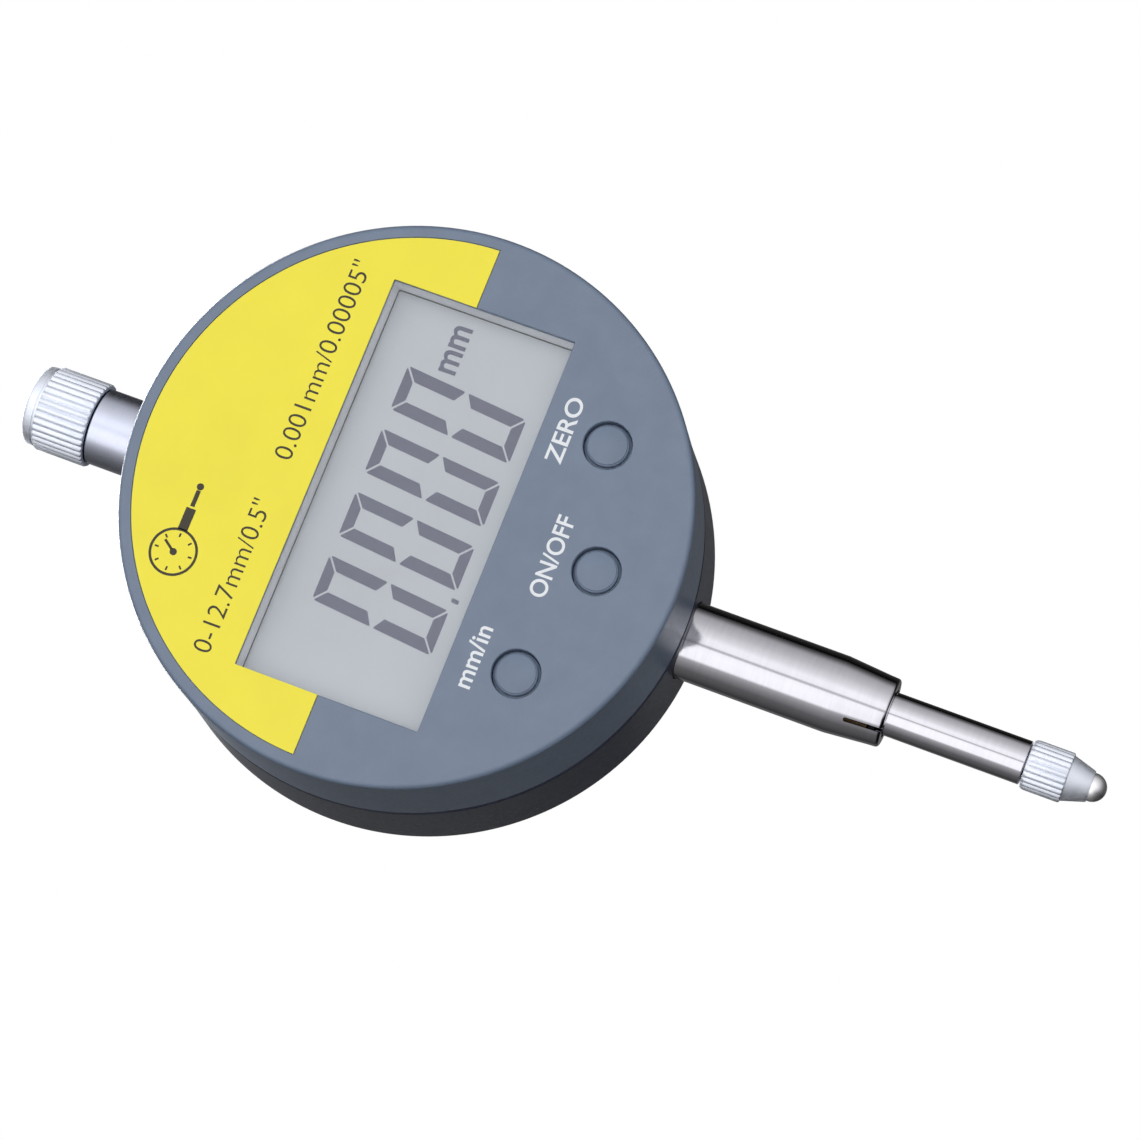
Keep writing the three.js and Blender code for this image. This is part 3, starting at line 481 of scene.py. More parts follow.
CUT = 1.0                   # how far a cutter runs past the surface that it cuts
SLACK = 0.05                # clearance of a piece in its recess
CASE_SIDES = 192
FACE_WALL = 2.5             # thickness of the face
FACE_EDGE = 0.6             # rounding of the face's rim
PARTING_EDGE = 0.45         # rounding on each side of the parting line
HOLE_EDGE = 0.15            # rounding of a button hole's rim
WINDOW_CORNER = 0.12        # rounding of the window's corners and rim
POCKET = 0.8                # room around the window for the display's lining
LABEL_GAP = 0.1             # gap between the label and its recess
BORE_GAP = 0.1              # gap between the stem or neck and the case
REAR_RIM = {"width": 0.6, "depth": 1.0, "edge": 0.3}
COVER_SEAT = {"radius": 27.2, "y": 5.2, "edge": 0.1}
PLATE = {"skirt": 1.7, "y": 7.7, "edge": 0.35}
LUG = {"half": 2.5, "radius": 7.0, "hole_r": 3.25, "flare": 1.2, "root": 0.6, "edge": 0.4, "mid_edge": 0.12}
LUG_HOLE = {"countersink": 1.7, "reach": 4, "land": 0.3}
BATTERY = {
    "x": middle("battery_cap").x, "hole_r": 6.05, "hole_y": (3, 6), "collar_r": 7.9, "seat_y": 5.3,
    "plug_r": 5.9,
}
BATTERY_FLANGE = {"y": 6.3, "edge": 0.3, "gap": 0.15, "rim": 0.25}
COIN_SLOT = {"half": 5, "half_width": 0.7, "corner": 0.69, "depth": 0.9}
SCREW = {
    "thread_r": 0.7, "shank_r": 0.95, "thread_y": -4.9, "hole_r": 1.15, "hole_y": (5, 7), "seat_y": 6.4,
    "crown": 0.45,
}
SCREW_RECESS = (2.0, 6.3, 0.2)      # radius, floor and rim
CROSS = {"long": 1.0, "short": 0.18, "depth": 0.7, "corner": 0.05}


def hole_tool(centre, radius, y, mouth=0.0):
    """A round cutter along Y. Its mouth breaks the hole's edge at the face."""
    profile = [(0, y[0]), (radius, y[0])]
    if mouth:
        flare = [(radius + mouth * (1 - math.sin(a)), FACE_Y + mouth * (1 - math.cos(a))) for a in QUARTER]
        profile = [(0, y[0]), (radius + mouth, y[0]), *flare]
    return revolve("tool", "Y", profile + [(radius, y[1]), (0, y[1])], (centre.x, 0, centre.z), 72)


def counterbore(centre, radius, floor_y, rim):
    """A round recess from the back plate's face, with a broken edge."""
    face = PLATE["y"]
    lip = [(radius + rim * (1 - math.cos(a)), face - rim * (1 - math.sin(a))) for a in QUARTER]
    profile = [(0, floor_y), (radius, floor_y), *lip, (radius + rim, face + CUT), (0, face + CUT)]
    return revolve("tool", "Y", profile, (centre.x, 0, centre.z), 72)


def label_tool(radius, low, y):
    """The label's outline as a cutter: a disc cut off along a straight line."""
    disc = revolve("tool", "Y", [(0, y[0]), (radius, y[0]), (radius, y[1]), (0, y[1])], CASE, CASE_SIDES)
    room = radius + 5
    above = block("above", (-room, room), grown(y, CUT), (low, low + radius + room), 0.01)
    return carve(disc, [above], "INTERSECT")


def front_cover():
    """The slate cup, with the window, the display's pocket, the label's recess and the button holes."""
    end, inner = FRONT[1].y, FACE_Y + FACE_WALL
    shell = revolve("front_shell", "Y", fillet([
        (0, FACE_Y), (FRONT_R, FACE_Y, FACE_EDGE), (PARTING_R, end, PARTING_EDGE), (BORE_R, end),
        (BORE_R, inner), (0, inner),
    ], steps=8), CASE, CASE_SIDES)
    through = (FACE_Y - CUT, inner + CUT)
    window = block("tool", WINDOW_X, through, WINDOW_Z, WINDOW_CORNER, mouth=WINDOW_CORNER)
    pocket_y = (BEZEL[0].y - SLACK, inner + CUT)
    pocket = block("tool", grown(WINDOW_X, POCKET), pocket_y, grown(WINDOW_Z, POCKET), 0.2)
    recess = label_tool(LABEL_R + LABEL_GAP, LABEL_LOW - LABEL_GAP, (FACE_Y - CUT, LABEL[1].y + SLACK))
    holes = [hole_tool(middle(name), BUTTON_HOLE_R, through, HOLE_EDGE) for name in BUTTONS]
    place(weighted(carve(shell, [window, pocket, recess, *holes])), "root", "slate_shell", "front_cover")


def rear_case():
    """The dark ring behind the parting line, with bores for the stem and the neck."""
    low, high = REAR[0].y, REAR[1].y
    rim, seat = REAR_RIM, COVER_SEAT
    ring = revolve("rear_shell", "Y", fillet([
        (BORE_R, low), (PARTING_R, low, PARTING_EDGE), (REAR_R, high - rim["depth"], rim["edge"]),
        (REAR_R - rim["width"], high, rim["edge"]), (seat["radius"], high, seat["edge"]),
        (seat["radius"], seat["y"]), (BORE_R, seat["y"]),
    ], closed=True), CASE, CASE_SIDES)
    bore_r = STEM_R + BORE_GAP
    bores = [
        revolve("tool", "Z", [(0, z0), (bore_r, z0), (bore_r, z1), (0, z1)], sides=72)
        for z0, z1 in ((STEM[0].z, CASE.z), (CASE.z, CAP[1].z))
    ]
    place(weighted(carve(ring, bores)), "root", "dark_shell", "rear_case")


def screw_places():
    return [middle(f"case_screw_{i}") for i in (1, 2, 3, 4)]


def lug():
    """The lug on the back, lofted across its thickness, with a flared root and broken edges."""
    radius, root_z = LUG["radius"], LUG["radius"] + LUG["flare"]
    eye_y = BACK[1].y - radius
    root = [(PLATE["y"] - LUG["root"], root_z), (PLATE["y"], root_z), (PLATE["y"] + LUG["flare"], radius)]
    half_turn = steps_of(-math.pi / 2, math.pi / 2, 32)
    arc = [(eye_y + radius * math.cos(a), radius * math.sin(a)) for a in half_turn]
    outline = [(y, -z) for y, z in root] + arc + root[::-1]
    half, edge, middle_cut = LUG["half"], LUG["edge"], LUG["mid_edge"]
    side = [(half, edge), (half - middle_cut, middle_cut), (half - edge, 0)]
    sections = []
    for x, cut in [(-x, cut) for x, cut in side] + side[::-1]:
        scale = 1 - cut / radius
        sections.append([
            (x, eye_y + (y - eye_y) * scale if y > eye_y else y, CASE.z + z * scale) for y, z in outline
        ])
    return loft("tool", sections)


def lug_hole_tool():
    """The lug's bore, countersunk from both sides."""
    radius, wide = LUG["hole_r"], LUG["hole_r"] + LUG_HOLE["countersink"]
    reach, land = LUG_HOLE["reach"], LUG["half"] - LUG_HOLE["land"]
    profile = [(0, -reach), (wide, -reach), (radius, -land), (radius, land), (wide, reach), (0, reach)]
    return revolve("tool", "X", profile, (0, BACK[1].y - LUG["radius"], CASE.z), 96)


def back_cover():
    """The back plate with its lug, the recesses for the screws, and the battery opening."""
    front, back, rim = BACK[0].y + PLATE["skirt"], PLATE["y"], BACK[1].x
    plate_profile = fillet([(0, front), (rim, front), (rim, back, PLATE["edge"]), (0, back)])
    plate = revolve("back_plate", "Y", plate_profile, CASE, CASE_SIDES)
    battery_place = Vector((BATTERY["x"], 0, CASE.z))
    collar_r, collar_y = BATTERY["collar_r"], front + 0.5
    collar_profile = [(0, BACK[0].y), (collar_r, BACK[0].y), (collar_r, collar_y), (0, collar_y)]
    collar = revolve("tool", "Y", collar_profile, battery_place, 96)
    plate = carve(plate, [lug(), collar], "UNION")
    seat_r = BATTERY_CAP[1].x - BATTERY["x"] + BATTERY_FLANGE["gap"]
    tools = [
        lug_hole_tool(),
        hole_tool(battery_place, BATTERY["hole_r"], BATTERY["hole_y"]),
        counterbore(battery_place, seat_r, BATTERY["seat_y"], BATTERY_FLANGE["rim"]),
    ]
    for screw in screw_places():
        tools.append(counterbore(screw, *SCREW_RECESS))
        tools.append(hole_tool(screw, SCREW["hole_r"], SCREW["hole_y"]))
    place(weighted(carve(plate, tools)), "root", "dark_shell", "back_cover")


def case_screws():
    """Long screws, whose heads with a cross recess show in the back plate."""
    for i, at in enumerate(screw_places(), 1):
        low, high = span(f"case_screw_{i}")
        thread_r, shank_r, head_r = SCREW["thread_r"], SCREW["shank_r"], high.x - at.x
        screw = revolve(f"case_screw_{i}_head", "Y", fillet([
            (0, low.y), (thread_r, low.y), (thread_r, SCREW["thread_y"]), (shank_r, SCREW["thread_y"]),
            (shank_r, SCREW["seat_y"]), (head_r, SCREW["seat_y"], 0.1), (head_r, high.y, SCREW["crown"]),
            (0, high.y),
        ]), (at.x, 0, at.z), 48)
        y = (high.y - CROSS["depth"], high.y + CUT)
        cross = [
            block("tool", (at.x - a, at.x + a), y, (at.z - b, at.z + b), CROSS["corner"])
            for a, b in ((CROSS["long"], CROSS["short"]), (CROSS["short"], CROSS["long"]))
        ]
        place(weighted(carve(screw, cross)), "root", "steel", f"case_screw_{i}")


def battery_cap():
    """The screw cap over the battery, with a slot for a coin."""
    low, high = BATTERY_CAP
    x, plug_r, flange = BATTERY["x"], BATTERY["plug_r"], BATTERY_FLANGE
    cap = revolve("battery_cap_disc", "Y", fillet([
        (0, low.y), (plug_r, low.y), (plug_r, flange["y"]), (high.x - x, flange["y"]),
        (high.x - x, high.y, flange["edge"]), (0, high.y),
    ]), (x, 0, CASE.z))
    half, half_width = COIN_SLOT["half"], COIN_SLOT["half_width"]
    slot = block("tool", (x - half, x + half), (high.y - COIN_SLOT["depth"], high.y + CUT),
                 (CASE.z - half_width, CASE.z + half_width), COIN_SLOT["corner"])
    place(weighted(carve(cap, [slot])), "battery_cap", "dark_shell", "battery_cap")


# -------------------------------- face

LINING = {"wall": 0.7, "back_gap": 0.12, "corner": 0.3, "inner_corner": 0.25, "edge": 0.05}
# The dark frame that draws the shadow line where the display's lining meets the display: painted shadow.
SHADOW_FRAME = {"lip": 0.1, "reach": 0.5, "front": 0.16, "back": 0.06, "corner": 0.2}
LENS_EDGE, GLASS_EDGE, GLASS_CORNER = 0.08, 0.05, 0.1
DIGIT = {
    "width": 4.72, "height": 13.05, "upright": 1.28, "bar": 1.1, "cut": 0.33, "gap": 0.2,
    "slant": math.radians(5.3), "pitch": 6.8, "x": -12.7, "below": 7.43,
}
SIDE_TIP = {"outer": 0.28, "blunt": 0.2, "inner": 0.94, "step": 0.1}
POINT = {"x": -7.12, "below": 8.0, "width": 0.42, "height": 0.75, "lean": 0.06}
DISPLAY_UNIT = {"height": 2.72, "left": 14.25, "above": 0.95, "width": 4.85, "weight": 0.07}
SEGMENT_DEPTH = (PANEL[0].y - 0.03, PANEL[0].y - 0.005)
INK_FRONT, INK_BACK = 0.02, 0.005           # how far printing stands in front of its surface
# The printed lines: words, slot, surface, capital height, left end, baseline above the case's centre,
# width, and how much heavier they are than the typeface.
LEGENDS = {
    "resolution_legend": ("0.001mm/0.00005\"", "dark_ink", LABEL[0].y, 1.95, -0.12, 12.0, 21.3, -0.02),
    "range_legend": ("0-12.7mm/0.5\"", "dark_ink", LABEL[0].y, 1.95, -20.6, 12.05, 16.0, -0.02),
    "zero_legend": ("ZERO", "white_ink", FACE_Y, 1.75, 8.65, -12.83, 6.7, 0.035),
    "on_off_legend": ("ON/OFF", "white_ink", FACE_Y, 1.8, -4.3, -16.28, 8.3, 0.035),
    "unit_legend": ("mm/in", "white_ink", FACE_Y, 1.8, -15.0, -12.81, 6.25, 0.035),
}
MARK = {"x": -12.4, "above": 19.3, "radius": 2.3, "line": 0.13, "hub": 0.36, "pointer_angle": 0.95}
MARK_TICKS = {"count": 8, "inner": 1.55, "outer": 1.95, "half": 0.09}
MARK_POINTER = {"inner": 0.3, "outer": 1.5, "half": 0.13}
MARK_STEM = {"from": 0, "to": 2.3, "half": 0.5}
MARK_ROD = {"from": 2.5, "to": 4.2, "half": 0.22, "ball": 4.6}
CAP_BUTTON = {"radius": 2.1, "dome": 0.32, "rim": 0.2, "rim_drop": 0.1, "ledge_r": 2.32, "ledge": 1.05}
BUTTON_SKIRT = {"front": -14.8, "back": -14.2, "stalk_r": 1.1}


def face_label():
    """The printed film, with its window."""
    film = label_tool(LABEL_R, LABEL_LOW, (LABEL[0].y, LABEL[1].y))
    film.name = "label_film"
    window = block("tool", WINDOW_X, (FACE_Y - CUT, FACE_Y + CUT), WINDOW_Z, WINDOW_CORNER)
    place(weighted(carve(film, [window])), "root", "yellow_film", "face_label")


def lcd_bezel():
    """The light frame that lines the window's depth."""
    wall, front, back = LINING["wall"], BEZEL[0].y, BEZEL[1].y
    lining = block("display_frame", grown(WINDOW_X, wall), (front, back - LINING["back_gap"]),
                   grown(WINDOW_Z, wall), LINING["corner"], edge=LINING["edge"])
    opening = block("tool", WINDOW_X, (front - CUT, back + CUT), WINDOW_Z, LINING["inner_corner"])
    place(weighted(carve(lining, [opening])), "root", "grey_plastic", "lcd_bezel")


def painted_shadow_frame():
    """A thin dark frame between the lining and the display, drawn as the shadow line where they meet: painted
    shadow.
    """
    depth = (PANEL[0].y - SHADOW_FRAME["front"], PANEL[0].y - SHADOW_FRAME["back"])
    reach, lip, corner = SHADOW_FRAME["reach"], SHADOW_FRAME["lip"], SHADOW_FRAME["corner"]
    seal = block("painted_shadow_frame", grown(WINDOW_X, reach), depth, grown(WINDOW_Z, reach), corner)
    opening = block("tool", grown(WINDOW_X, -lip), grown(depth, CUT), grown(WINDOW_Z, -lip), corner)
    place(weighted(carve(seal, [opening])), "root", "rubber")


def plate_of(name, box, corner, edge):
    """A thin plate with softened edges that fills a CAD node's box."""
    return weighted(block(name, *((box[0][i], box[1][i]) for i in range(3)), corner, edge=edge))


def lens():
    place(plate_of("display_window", LENS, WINDOW_CORNER, LENS_EDGE), "root", "clear_lens", "lcd_window")


def display_glass():
    place(plate_of("display_glass", PANEL, GLASS_CORNER, GLASS_EDGE), "root", "liquid_crystal", "lcd_panel")


def zero_segments():
    """The six lit segments of a 0, upright, from its lower left corner."""
    w, h = DIGIT["width"], DIGIT["height"]
    t, b, k = DIGIT["upright"], DIGIT["bar"], DIGIT["cut"]
    slip = DIGIT["gap"] / (2 * math.sqrt(2))
    shift = DIGIT["gap"] / math.sqrt(2)
    bar = [(k / 2 + slip, h - k / 2 + slip), (k, h), (w - k, h), (w - k / 2 - slip, h - k / 2 + slip),
           (w - t - shift, h - b), (t + shift, h - b)]
    waist, tip = h / 2, SIDE_TIP
    side = [(k / 2 - slip, h - k / 2 - slip), (0, h - k), (0, waist + tip["outer"]),
            (tip["step"], waist + tip["blunt"]), (t, waist + tip["inner"]), (t, h - b - shift)]
    upper = [bar, side, [(w - u, v) for u, v in side]]
    return upper + [[(u, h - v) for u, v in segment] for segment in upper]


def digits():
    """Four slanted zeros, the point after the first, and the unit."""
    lean = math.tan(DIGIT["slant"])
    foot = CASE.z - DIGIT["below"]
    outlines = []
    for number in range(4):
        left = DIGIT["x"] + number * DIGIT["pitch"]
        outlines += [[(left + u + v * lean, foot + v) for u, v in segment] for segment in zero_segments()]
    x, z = POINT["x"], CASE.z - POINT["below"]
    right, top, over = x + POINT["width"], z + POINT["height"], POINT["lean"]
    outlines.append([(x, z), (right, z), (right + over, top), (x + over, top)])
    place(prisms("display_digits", outlines, SEGMENT_DEPTH), "root", "display_segment")
    unit = DISPLAY_UNIT
    place(lettering("display_unit", "mm", unit["height"], unit["left"], CASE.z + unit["above"], SEGMENT_DEPTH,
                    unit["width"], unit["weight"]), "root", "display_segment")


def legends():
    """Units, ranges and the buttons' functions, printed on the face."""
    for name, (text, slot, surface, height, left, above, width, weight) in LEGENDS.items():
        depth = (surface - INK_FRONT, surface - INK_BACK)
        place(lettering(name, text, height, left, CASE.z + above, depth, width, weight), "root", slot)


def ring_outline(centre, radius, count=48):
    angles = [2 * math.pi * i / count for i in range(count)]
    return [(centre[0] + radius * math.cos(a), centre[1] + radius * math.sin(a)) for a in angles]


def bar_outline(start, end, half):
    """A straight stroke from start to end."""
    ahead = (Vector(end) - Vector(start)).normalized()
    across = Vector((-ahead.y, ahead.x)) * half
    return [tuple(Vector(p) + s * across) for p, s in ((start, 1), (start, -1), (end, -1), (end, 1))]


def gauge_mark():
    """A small printed pictogram of a gauge lying on its side: a ring, a pointer, ticks and a plunger."""
    centre, radius, line = Vector((MARK["x"], CASE.z + MARK["above"])), MARK["radius"], MARK["line"]

    def ray(angle, size):
        ahead = Vector((math.cos(angle), math.sin(angle)))
        return bar_outline(centre + ahead * size["inner"], centre + ahead * size["outer"], size["half"])

    def stroke(size):
        edge = centre.x + radius
        return bar_outline((edge + size["from"], centre.y), (edge + size["to"], centre.y), size["half"])

    count = MARK_TICKS["count"]
    parts = [[ring_outline(centre, radius + line), ring_outline(centre, radius - line)]]
    parts.append([ring_outline(centre, MARK["hub"], 24)])
    parts += [[ray(2 * math.pi * i / count, MARK_TICKS)] for i in range(count)]
    parts.append([ray(MARK["pointer_angle"], MARK_POINTER)])
    parts += [[stroke(MARK_STEM)], [stroke(MARK_ROD)]]
    parts.append([ring_outline((centre.x + radius + MARK_ROD["ball"], centre.y), MARK["hub"], 24)])
    depth = (LABEL[0].y - INK_FRONT, LABEL[0].y - INK_BACK)
    shapes = [flat_shapes(f"mark_{i}", outlines, depth) for i, outlines in enumerate(parts)]
    mark = shapes[0]
    work = bmesh.new()
    for shape in shapes:
        work.from_mesh(shape.data)
    work.to_mesh(mark.data)
    work.free()
    for shape in shapes[1:]:
        bpy.data.objects.remove(shape)
    mark.name = "gauge_mark"
    place(mark, "root", "dark_ink")


def buttons():
    """Domed caps with a rounded rim, a ledge that closes most of the gap around them, and a skirt."""
    cap_r, dome_rise, rim_r = CAP_BUTTON["radius"], CAP_BUTTON["dome"], CAP_BUTTON["rim"]
    ledge_r, dome_r = CAP_BUTTON["ledge_r"], cap_r - rim_r
    front, back, stalk_r = BUTTON_SKIRT["front"], BUTTON_SKIRT["back"], BUTTON_SKIRT["stalk_r"]
    for name in BUTTONS:
        low, high = span(name)
        at = middle(name)
        flange_r = high.x - at.x
        ledge_y, rim_y = low.y + CAP_BUTTON["ledge"], low.y + dome_rise + CAP_BUTTON["rim_drop"]
        dome = [(dome_r * s, low.y + dome_rise * s ** 2) for s in steps_of(0, 1, 10)]
        bend = steps_of(0.3, math.pi / 2, 5)
        rim = [(dome_r + rim_r * math.sin(a), rim_y + rim_r * (1 - math.cos(a))) for a in bend]
        cap = revolve(f"{name}_cap", "Y", dome + rim + [
            (cap_r, ledge_y), (ledge_r, ledge_y + SLACK), (ledge_r, front), (flange_r, front),
            (flange_r, back), (stalk_r, back), (stalk_r, high.y), (0, high.y),
        ], (at.x, 0, at.z), 96)
        place(weighted(cap), name, "slate_shell", name)


# -------------------------------- barrel and spindle

STEM_NOSE = {"bore": 3.1, "throat": 2.5, "lip": 0.68, "end_r": 3.55, "end_edge": 0.35, "taper": 5.63}
NOSE_BEND = {"radius": 3.62, "rise": 1.2, "edge": 1.2, "taper_edge": 1.0}
NOSE_SLOT = {"half": 0.25, "from": -6, "to": -2.2, "length": 3.9, "corner": 0.2, "turn": -43}
NECK_END = {"bore": 2.6, "spigot_r": 3.3, "spigot": 3.8, "edge": 0.15, "end_edge": 0.2}
KNURL = {"ribs": 36, "length": 5.6, "groove": 0.2, "sides": 36 * 8}
# The softened edges of ribbed bands: inset, distance along the axis, and share of the grooves' depth.
KNURL_RIM = [(0.28, 0, 0), (0.1, 0.05, 0.7), (0, 0.2, 1)]
KNURL_TOP = [(0, 0.2, 1), (0.08, 0.05, 0.8), (0.24, 0, 0)]
GRIP_TOP = [(0.45, 0, 0), (0.16, 0.08, 0.125), (0.04, 0.3, 0.6), (0, 0.5, 1)]
GRIP_END = [(0, 0.2, 1), (0.06, 0.04, 0.8), (0.22, 0, 0)]
CAP_ROOM = {"seal_r": 3.95, "seal": 0.95, "thread_r": 3.4, "thread": 4.0, "spindle_r": 2.8, "wall": 1.1}
CAP_NECK = {"inset": 0.32, "gap": 0.02, "top": 0.2}
CAP_DOME = {
    "inset": 0.26, "foot": 0.3, "draft": 0.05, "edge": 0.6, "rise": 0.35,
    "crown_share": 0.55, "crown_edge": 4.0, "crown_drop": 0.25,
}
SPINDLE_END = {"socket_r": 1.25, "socket": 4, "edge": 0.12, "top_edge": 0.4}
GRIP = {"ribs": 24, "groove": 0.16, "sides": 24 * 10, "end": -32.05, "thread_r": 1.15, "gap": 0.1}
CONE = {"top_r": 2.3, "lip": 0.04, "lip_gap": 0.02, "lip_depth": 0.15, "end_r": 1.58, "edge": 0.06}
BALL_SOCKET = {"gap": 0.03, "depth": 0.1}
COIL = {"wire": 0.22, "radius": 1.3, "turns": 16, "steps": 20, "inset": 0.6, "hook": 0.5, "bend": 0.2}


def stem():
    """The clamping stem, with a rounded, tapered nose split by three slots."""
    low, high = STEM[0].z, STEM[1].z
    nose, bend = STEM_NOSE, NOSE_BEND
    lip = low + nose["lip"]
    body = revolve("stem_tube", "Z", fillet([
        (nose["throat"], low), (nose["end_r"], low, nose["end_edge"]),
        (bend["radius"], low + bend["rise"], bend["edge"]), (STEM_R, low + nose["taper"], bend["taper_edge"]),
        (STEM_R, high), (nose["bore"], high), (nose["bore"], lip), (nose["throat"], lip),
    ], closed=True), sides=CASE_SIDES)
    slots = []
    for turn in (0, 120, 240):
        slot = block("tool", (-NOSE_SLOT["half"], NOSE_SLOT["half"]), (NOSE_SLOT["from"], NOSE_SLOT["to"]),
                     (low - CUT, low + NOSE_SLOT["length"]), NOSE_SLOT["corner"])
        slot.data.transform(Matrix.Rotation(math.radians(turn + NOSE_SLOT["turn"]), 4, "Z"))
        slots.append(slot)
    place(weighted(carve(body, slots)), "root", "polished_steel", "stem")


def neck():
    """The upper tube, with a thinner end inside the dust cap."""
    low, high = NECK[0].z, NECK[1].z
    bore, spigot_r, shoulder = NECK_END["bore"], NECK_END["spigot_r"], high - NECK_END["spigot"]
    tube = revolve("neck_tube", "Z", fillet([
        (bore, low), (STEM_R, low), (STEM_R, shoulder, NECK_END["edge"]), (spigot_r, shoulder),
        (spigot_r, high, NECK_END["end_edge"]), (bore, high),
    ], closed=True))
    place(weighted(tube), "root", "satin_nickel", "neck", finish="neck_nickel")


def ribbed(outer, groove, start, start_edge, end, end_edge):
    """The profile of a ribbed band from one height to another, with a softened edge at each."""
    way = 1 if end > start else -1
    first = [(outer - inset, start + way * step, groove * share) for inset, step, share in start_edge]
    last = [(outer - inset, end - way * step, groove * share) for inset, step, share in end_edge]
    return first + last


def dust_cap():
    """A knurled cap with a domed end, hollow inside."""
    rim, top, outer = CAP[0].z, CAP[1].z, CAP[1].x
    knurl_top, room, crown = rim + KNURL["length"], CAP_ROOM, CAP_DOME
    seal_top, thread_top, room_top = rim + room["seal"], rim + room["thread"], top - room["wall"]
    inside = [
        (0, room_top), (room["spindle_r"], room_top), (room["spindle_r"], thread_top),
        (room["thread_r"], thread_top), (room["thread_r"], seal_top), (room["seal_r"], seal_top),
        (room["seal_r"], rim),
    ]
    neck_r, dome_r = outer - CAP_NECK["inset"], outer - crown["inset"]
    dome = fillet([
        (neck_r, knurl_top + CAP_NECK["gap"]), (neck_r, knurl_top + CAP_NECK["top"]),
        (dome_r, knurl_top + crown["foot"]), (dome_r - crown["draft"], top - crown["rise"], crown["edge"]),
        (dome_r * crown["crown_share"], top - crown["rise"] * crown["crown_drop"], crown["crown_edge"]),
        (0, top),
    ], steps=6)
    knurl = ribbed(outer, KNURL["groove"], rim, KNURL_RIM, knurl_top, KNURL_TOP)
    cap = revolve("dust_cap_shell", "Z", inside + knurl + dome, sides=KNURL["sides"], ribs=KNURL["ribs"])
    place(cap, "dust_cap", "satin_nickel", "dust_cap", finish="grip_nickel")


def spindle():
    """The plunger, with a threaded socket for the contact point in its lower end."""
    low, high = SPINDLE[0].z, SPINDLE[1].z
    socket_r, socket_top = SPINDLE_END["socket_r"], low + SPINDLE_END["socket"]
    rod = revolve("spindle_rod", "Z", fillet([
        (0, socket_top), (socket_r, socket_top), (socket_r, low), (SPINDLE_R, low, SPINDLE_END["edge"]),
        (SPINDLE_R, high, SPINDLE_END["top_edge"]), (0, high),
    ]))
    place(weighted(rod), "spindle", "polished_steel", "spindle")


def contact_point():
    """A knurled grip, a step and a smooth cone that holds the ball."""
    top, bottom, end = SPINDLE[0].z - GRIP["gap"], TIP[0].z, GRIP["end"]
    thread_r, end_r, edge = GRIP["thread_r"], CONE["end_r"], CONE["edge"]
    socket_r, socket_top = BALL[1].x + BALL_SOCKET["gap"], BALL[1].z + BALL_SOCKET["depth"]
    thread = [(0, TIP[1].z), (thread_r, TIP[1].z), (thread_r, top)]
    grip = ribbed(TIP[1].x, GRIP["groove"], top, GRIP_TOP, end, GRIP_END)
    cone = [
        (CONE["top_r"] + CONE["lip"], end - CONE["lip_gap"]), (CONE["top_r"], end - CONE["lip_depth"]),
        (end_r + edge, bottom + 2 * edge), (end_r, bottom), (socket_r, bottom), (socket_r, socket_top),
        (0, socket_top),
    ]
    point = revolve("contact_point_grip", "Z", thread + grip + cone, sides=GRIP["sides"], ribs=GRIP["ribs"])
    place(point, "spindle", "satin_nickel", "contact_point", finish="grip_nickel")


def contact_ball():
    radius, low = BALL[1].x, BALL[0].z
    profile = [(radius * math.sin(a), low + radius - radius * math.cos(a)) for a in steps_of(0, math.pi, 48)]
    profile[0], profile[-1] = (0, low), (0, low + 2 * radius)
    ball = revolve("tip_ball", "Z", profile, sides=96)
    place(ball, "spindle", "polished_steel", "contact_ball", finish="ball_steel")


def return_spring():
    """A round-wire extension spring with a hook at each end, stretched by the spindle."""
    steps, coil_r, x = COIL["steps"], COIL["radius"], middle("return_spring").x
    low, high = SPRING[0].z + COIL["inset"], SPRING[1].z - COIL["inset"]
    count = COIL["turns"] * steps
    line = [Vector((x + coil_r, 0, low - drop)) for drop in (COIL["hook"], COIL["bend"])]
    for i in range(count + 1):
        angle, z = 2 * math.pi * i / steps, low + (high - low) * i / count
        line.append(Vector((x + coil_r * math.cos(angle), coil_r * math.sin(angle), z)))
    line += [Vector((x + coil_r, 0, high + rise)) for rise in (COIL["bend"], COIL["hook"])]
    curve = bpy.data.curves.new("spring_coil", "CURVE")
    curve.dimensions = "3D"
    curve.bevel_depth = COIL["wire"] * MM
    curve.bevel_resolution = 2
    curve.use_fill_caps = True
    spline = curve.splines.new("POLY")
    spline.points.add(len(line) - 1)
    for point, co in zip(spline.points, line):
        point.co = (*(co * MM), 1)
    coil = to_mesh(new_object("spring_coil", curve), "spring_coil")
    coil.data.materials.append(LOOK["steel"])
    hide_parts("return_spring")
    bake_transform(coil)


# -------------------------------- hidden pieces keep their CAD shape

def dress_cad_nodes():
    """Gives each remaining CAD node its record slot's procedural finish."""
    record = frame["record"]
    slots = {part["node"]: part["material_slot"] for part in record["subparts"]}
    for name, node in frame["nodes"].items():
        if node.hide_render:
            continue
        node.data.materials.clear()
        node.data.materials.append(LOOK[slots[name]])


# -------------------------------- camera, floor and light

CAMERA_SPOT = Vector((-72.56, -387.87, -47.53))
VIEW_AZIMUTH, VIEW_RISE, VIEW_ROLL = -10.969, 9.916, 70.081
LENS_LENGTH, SENSOR_WIDTH = 126.33, 36
FLOOR = {"z": -75, "half": 3000}
SOFTBOX = {"distance": 700, "size": 350, "power": 4}
SOFTBOXES = {"rear_left": (-0.1, 1.0, 0.95), "rear_right": (0.45, 0.8, 1.1)}
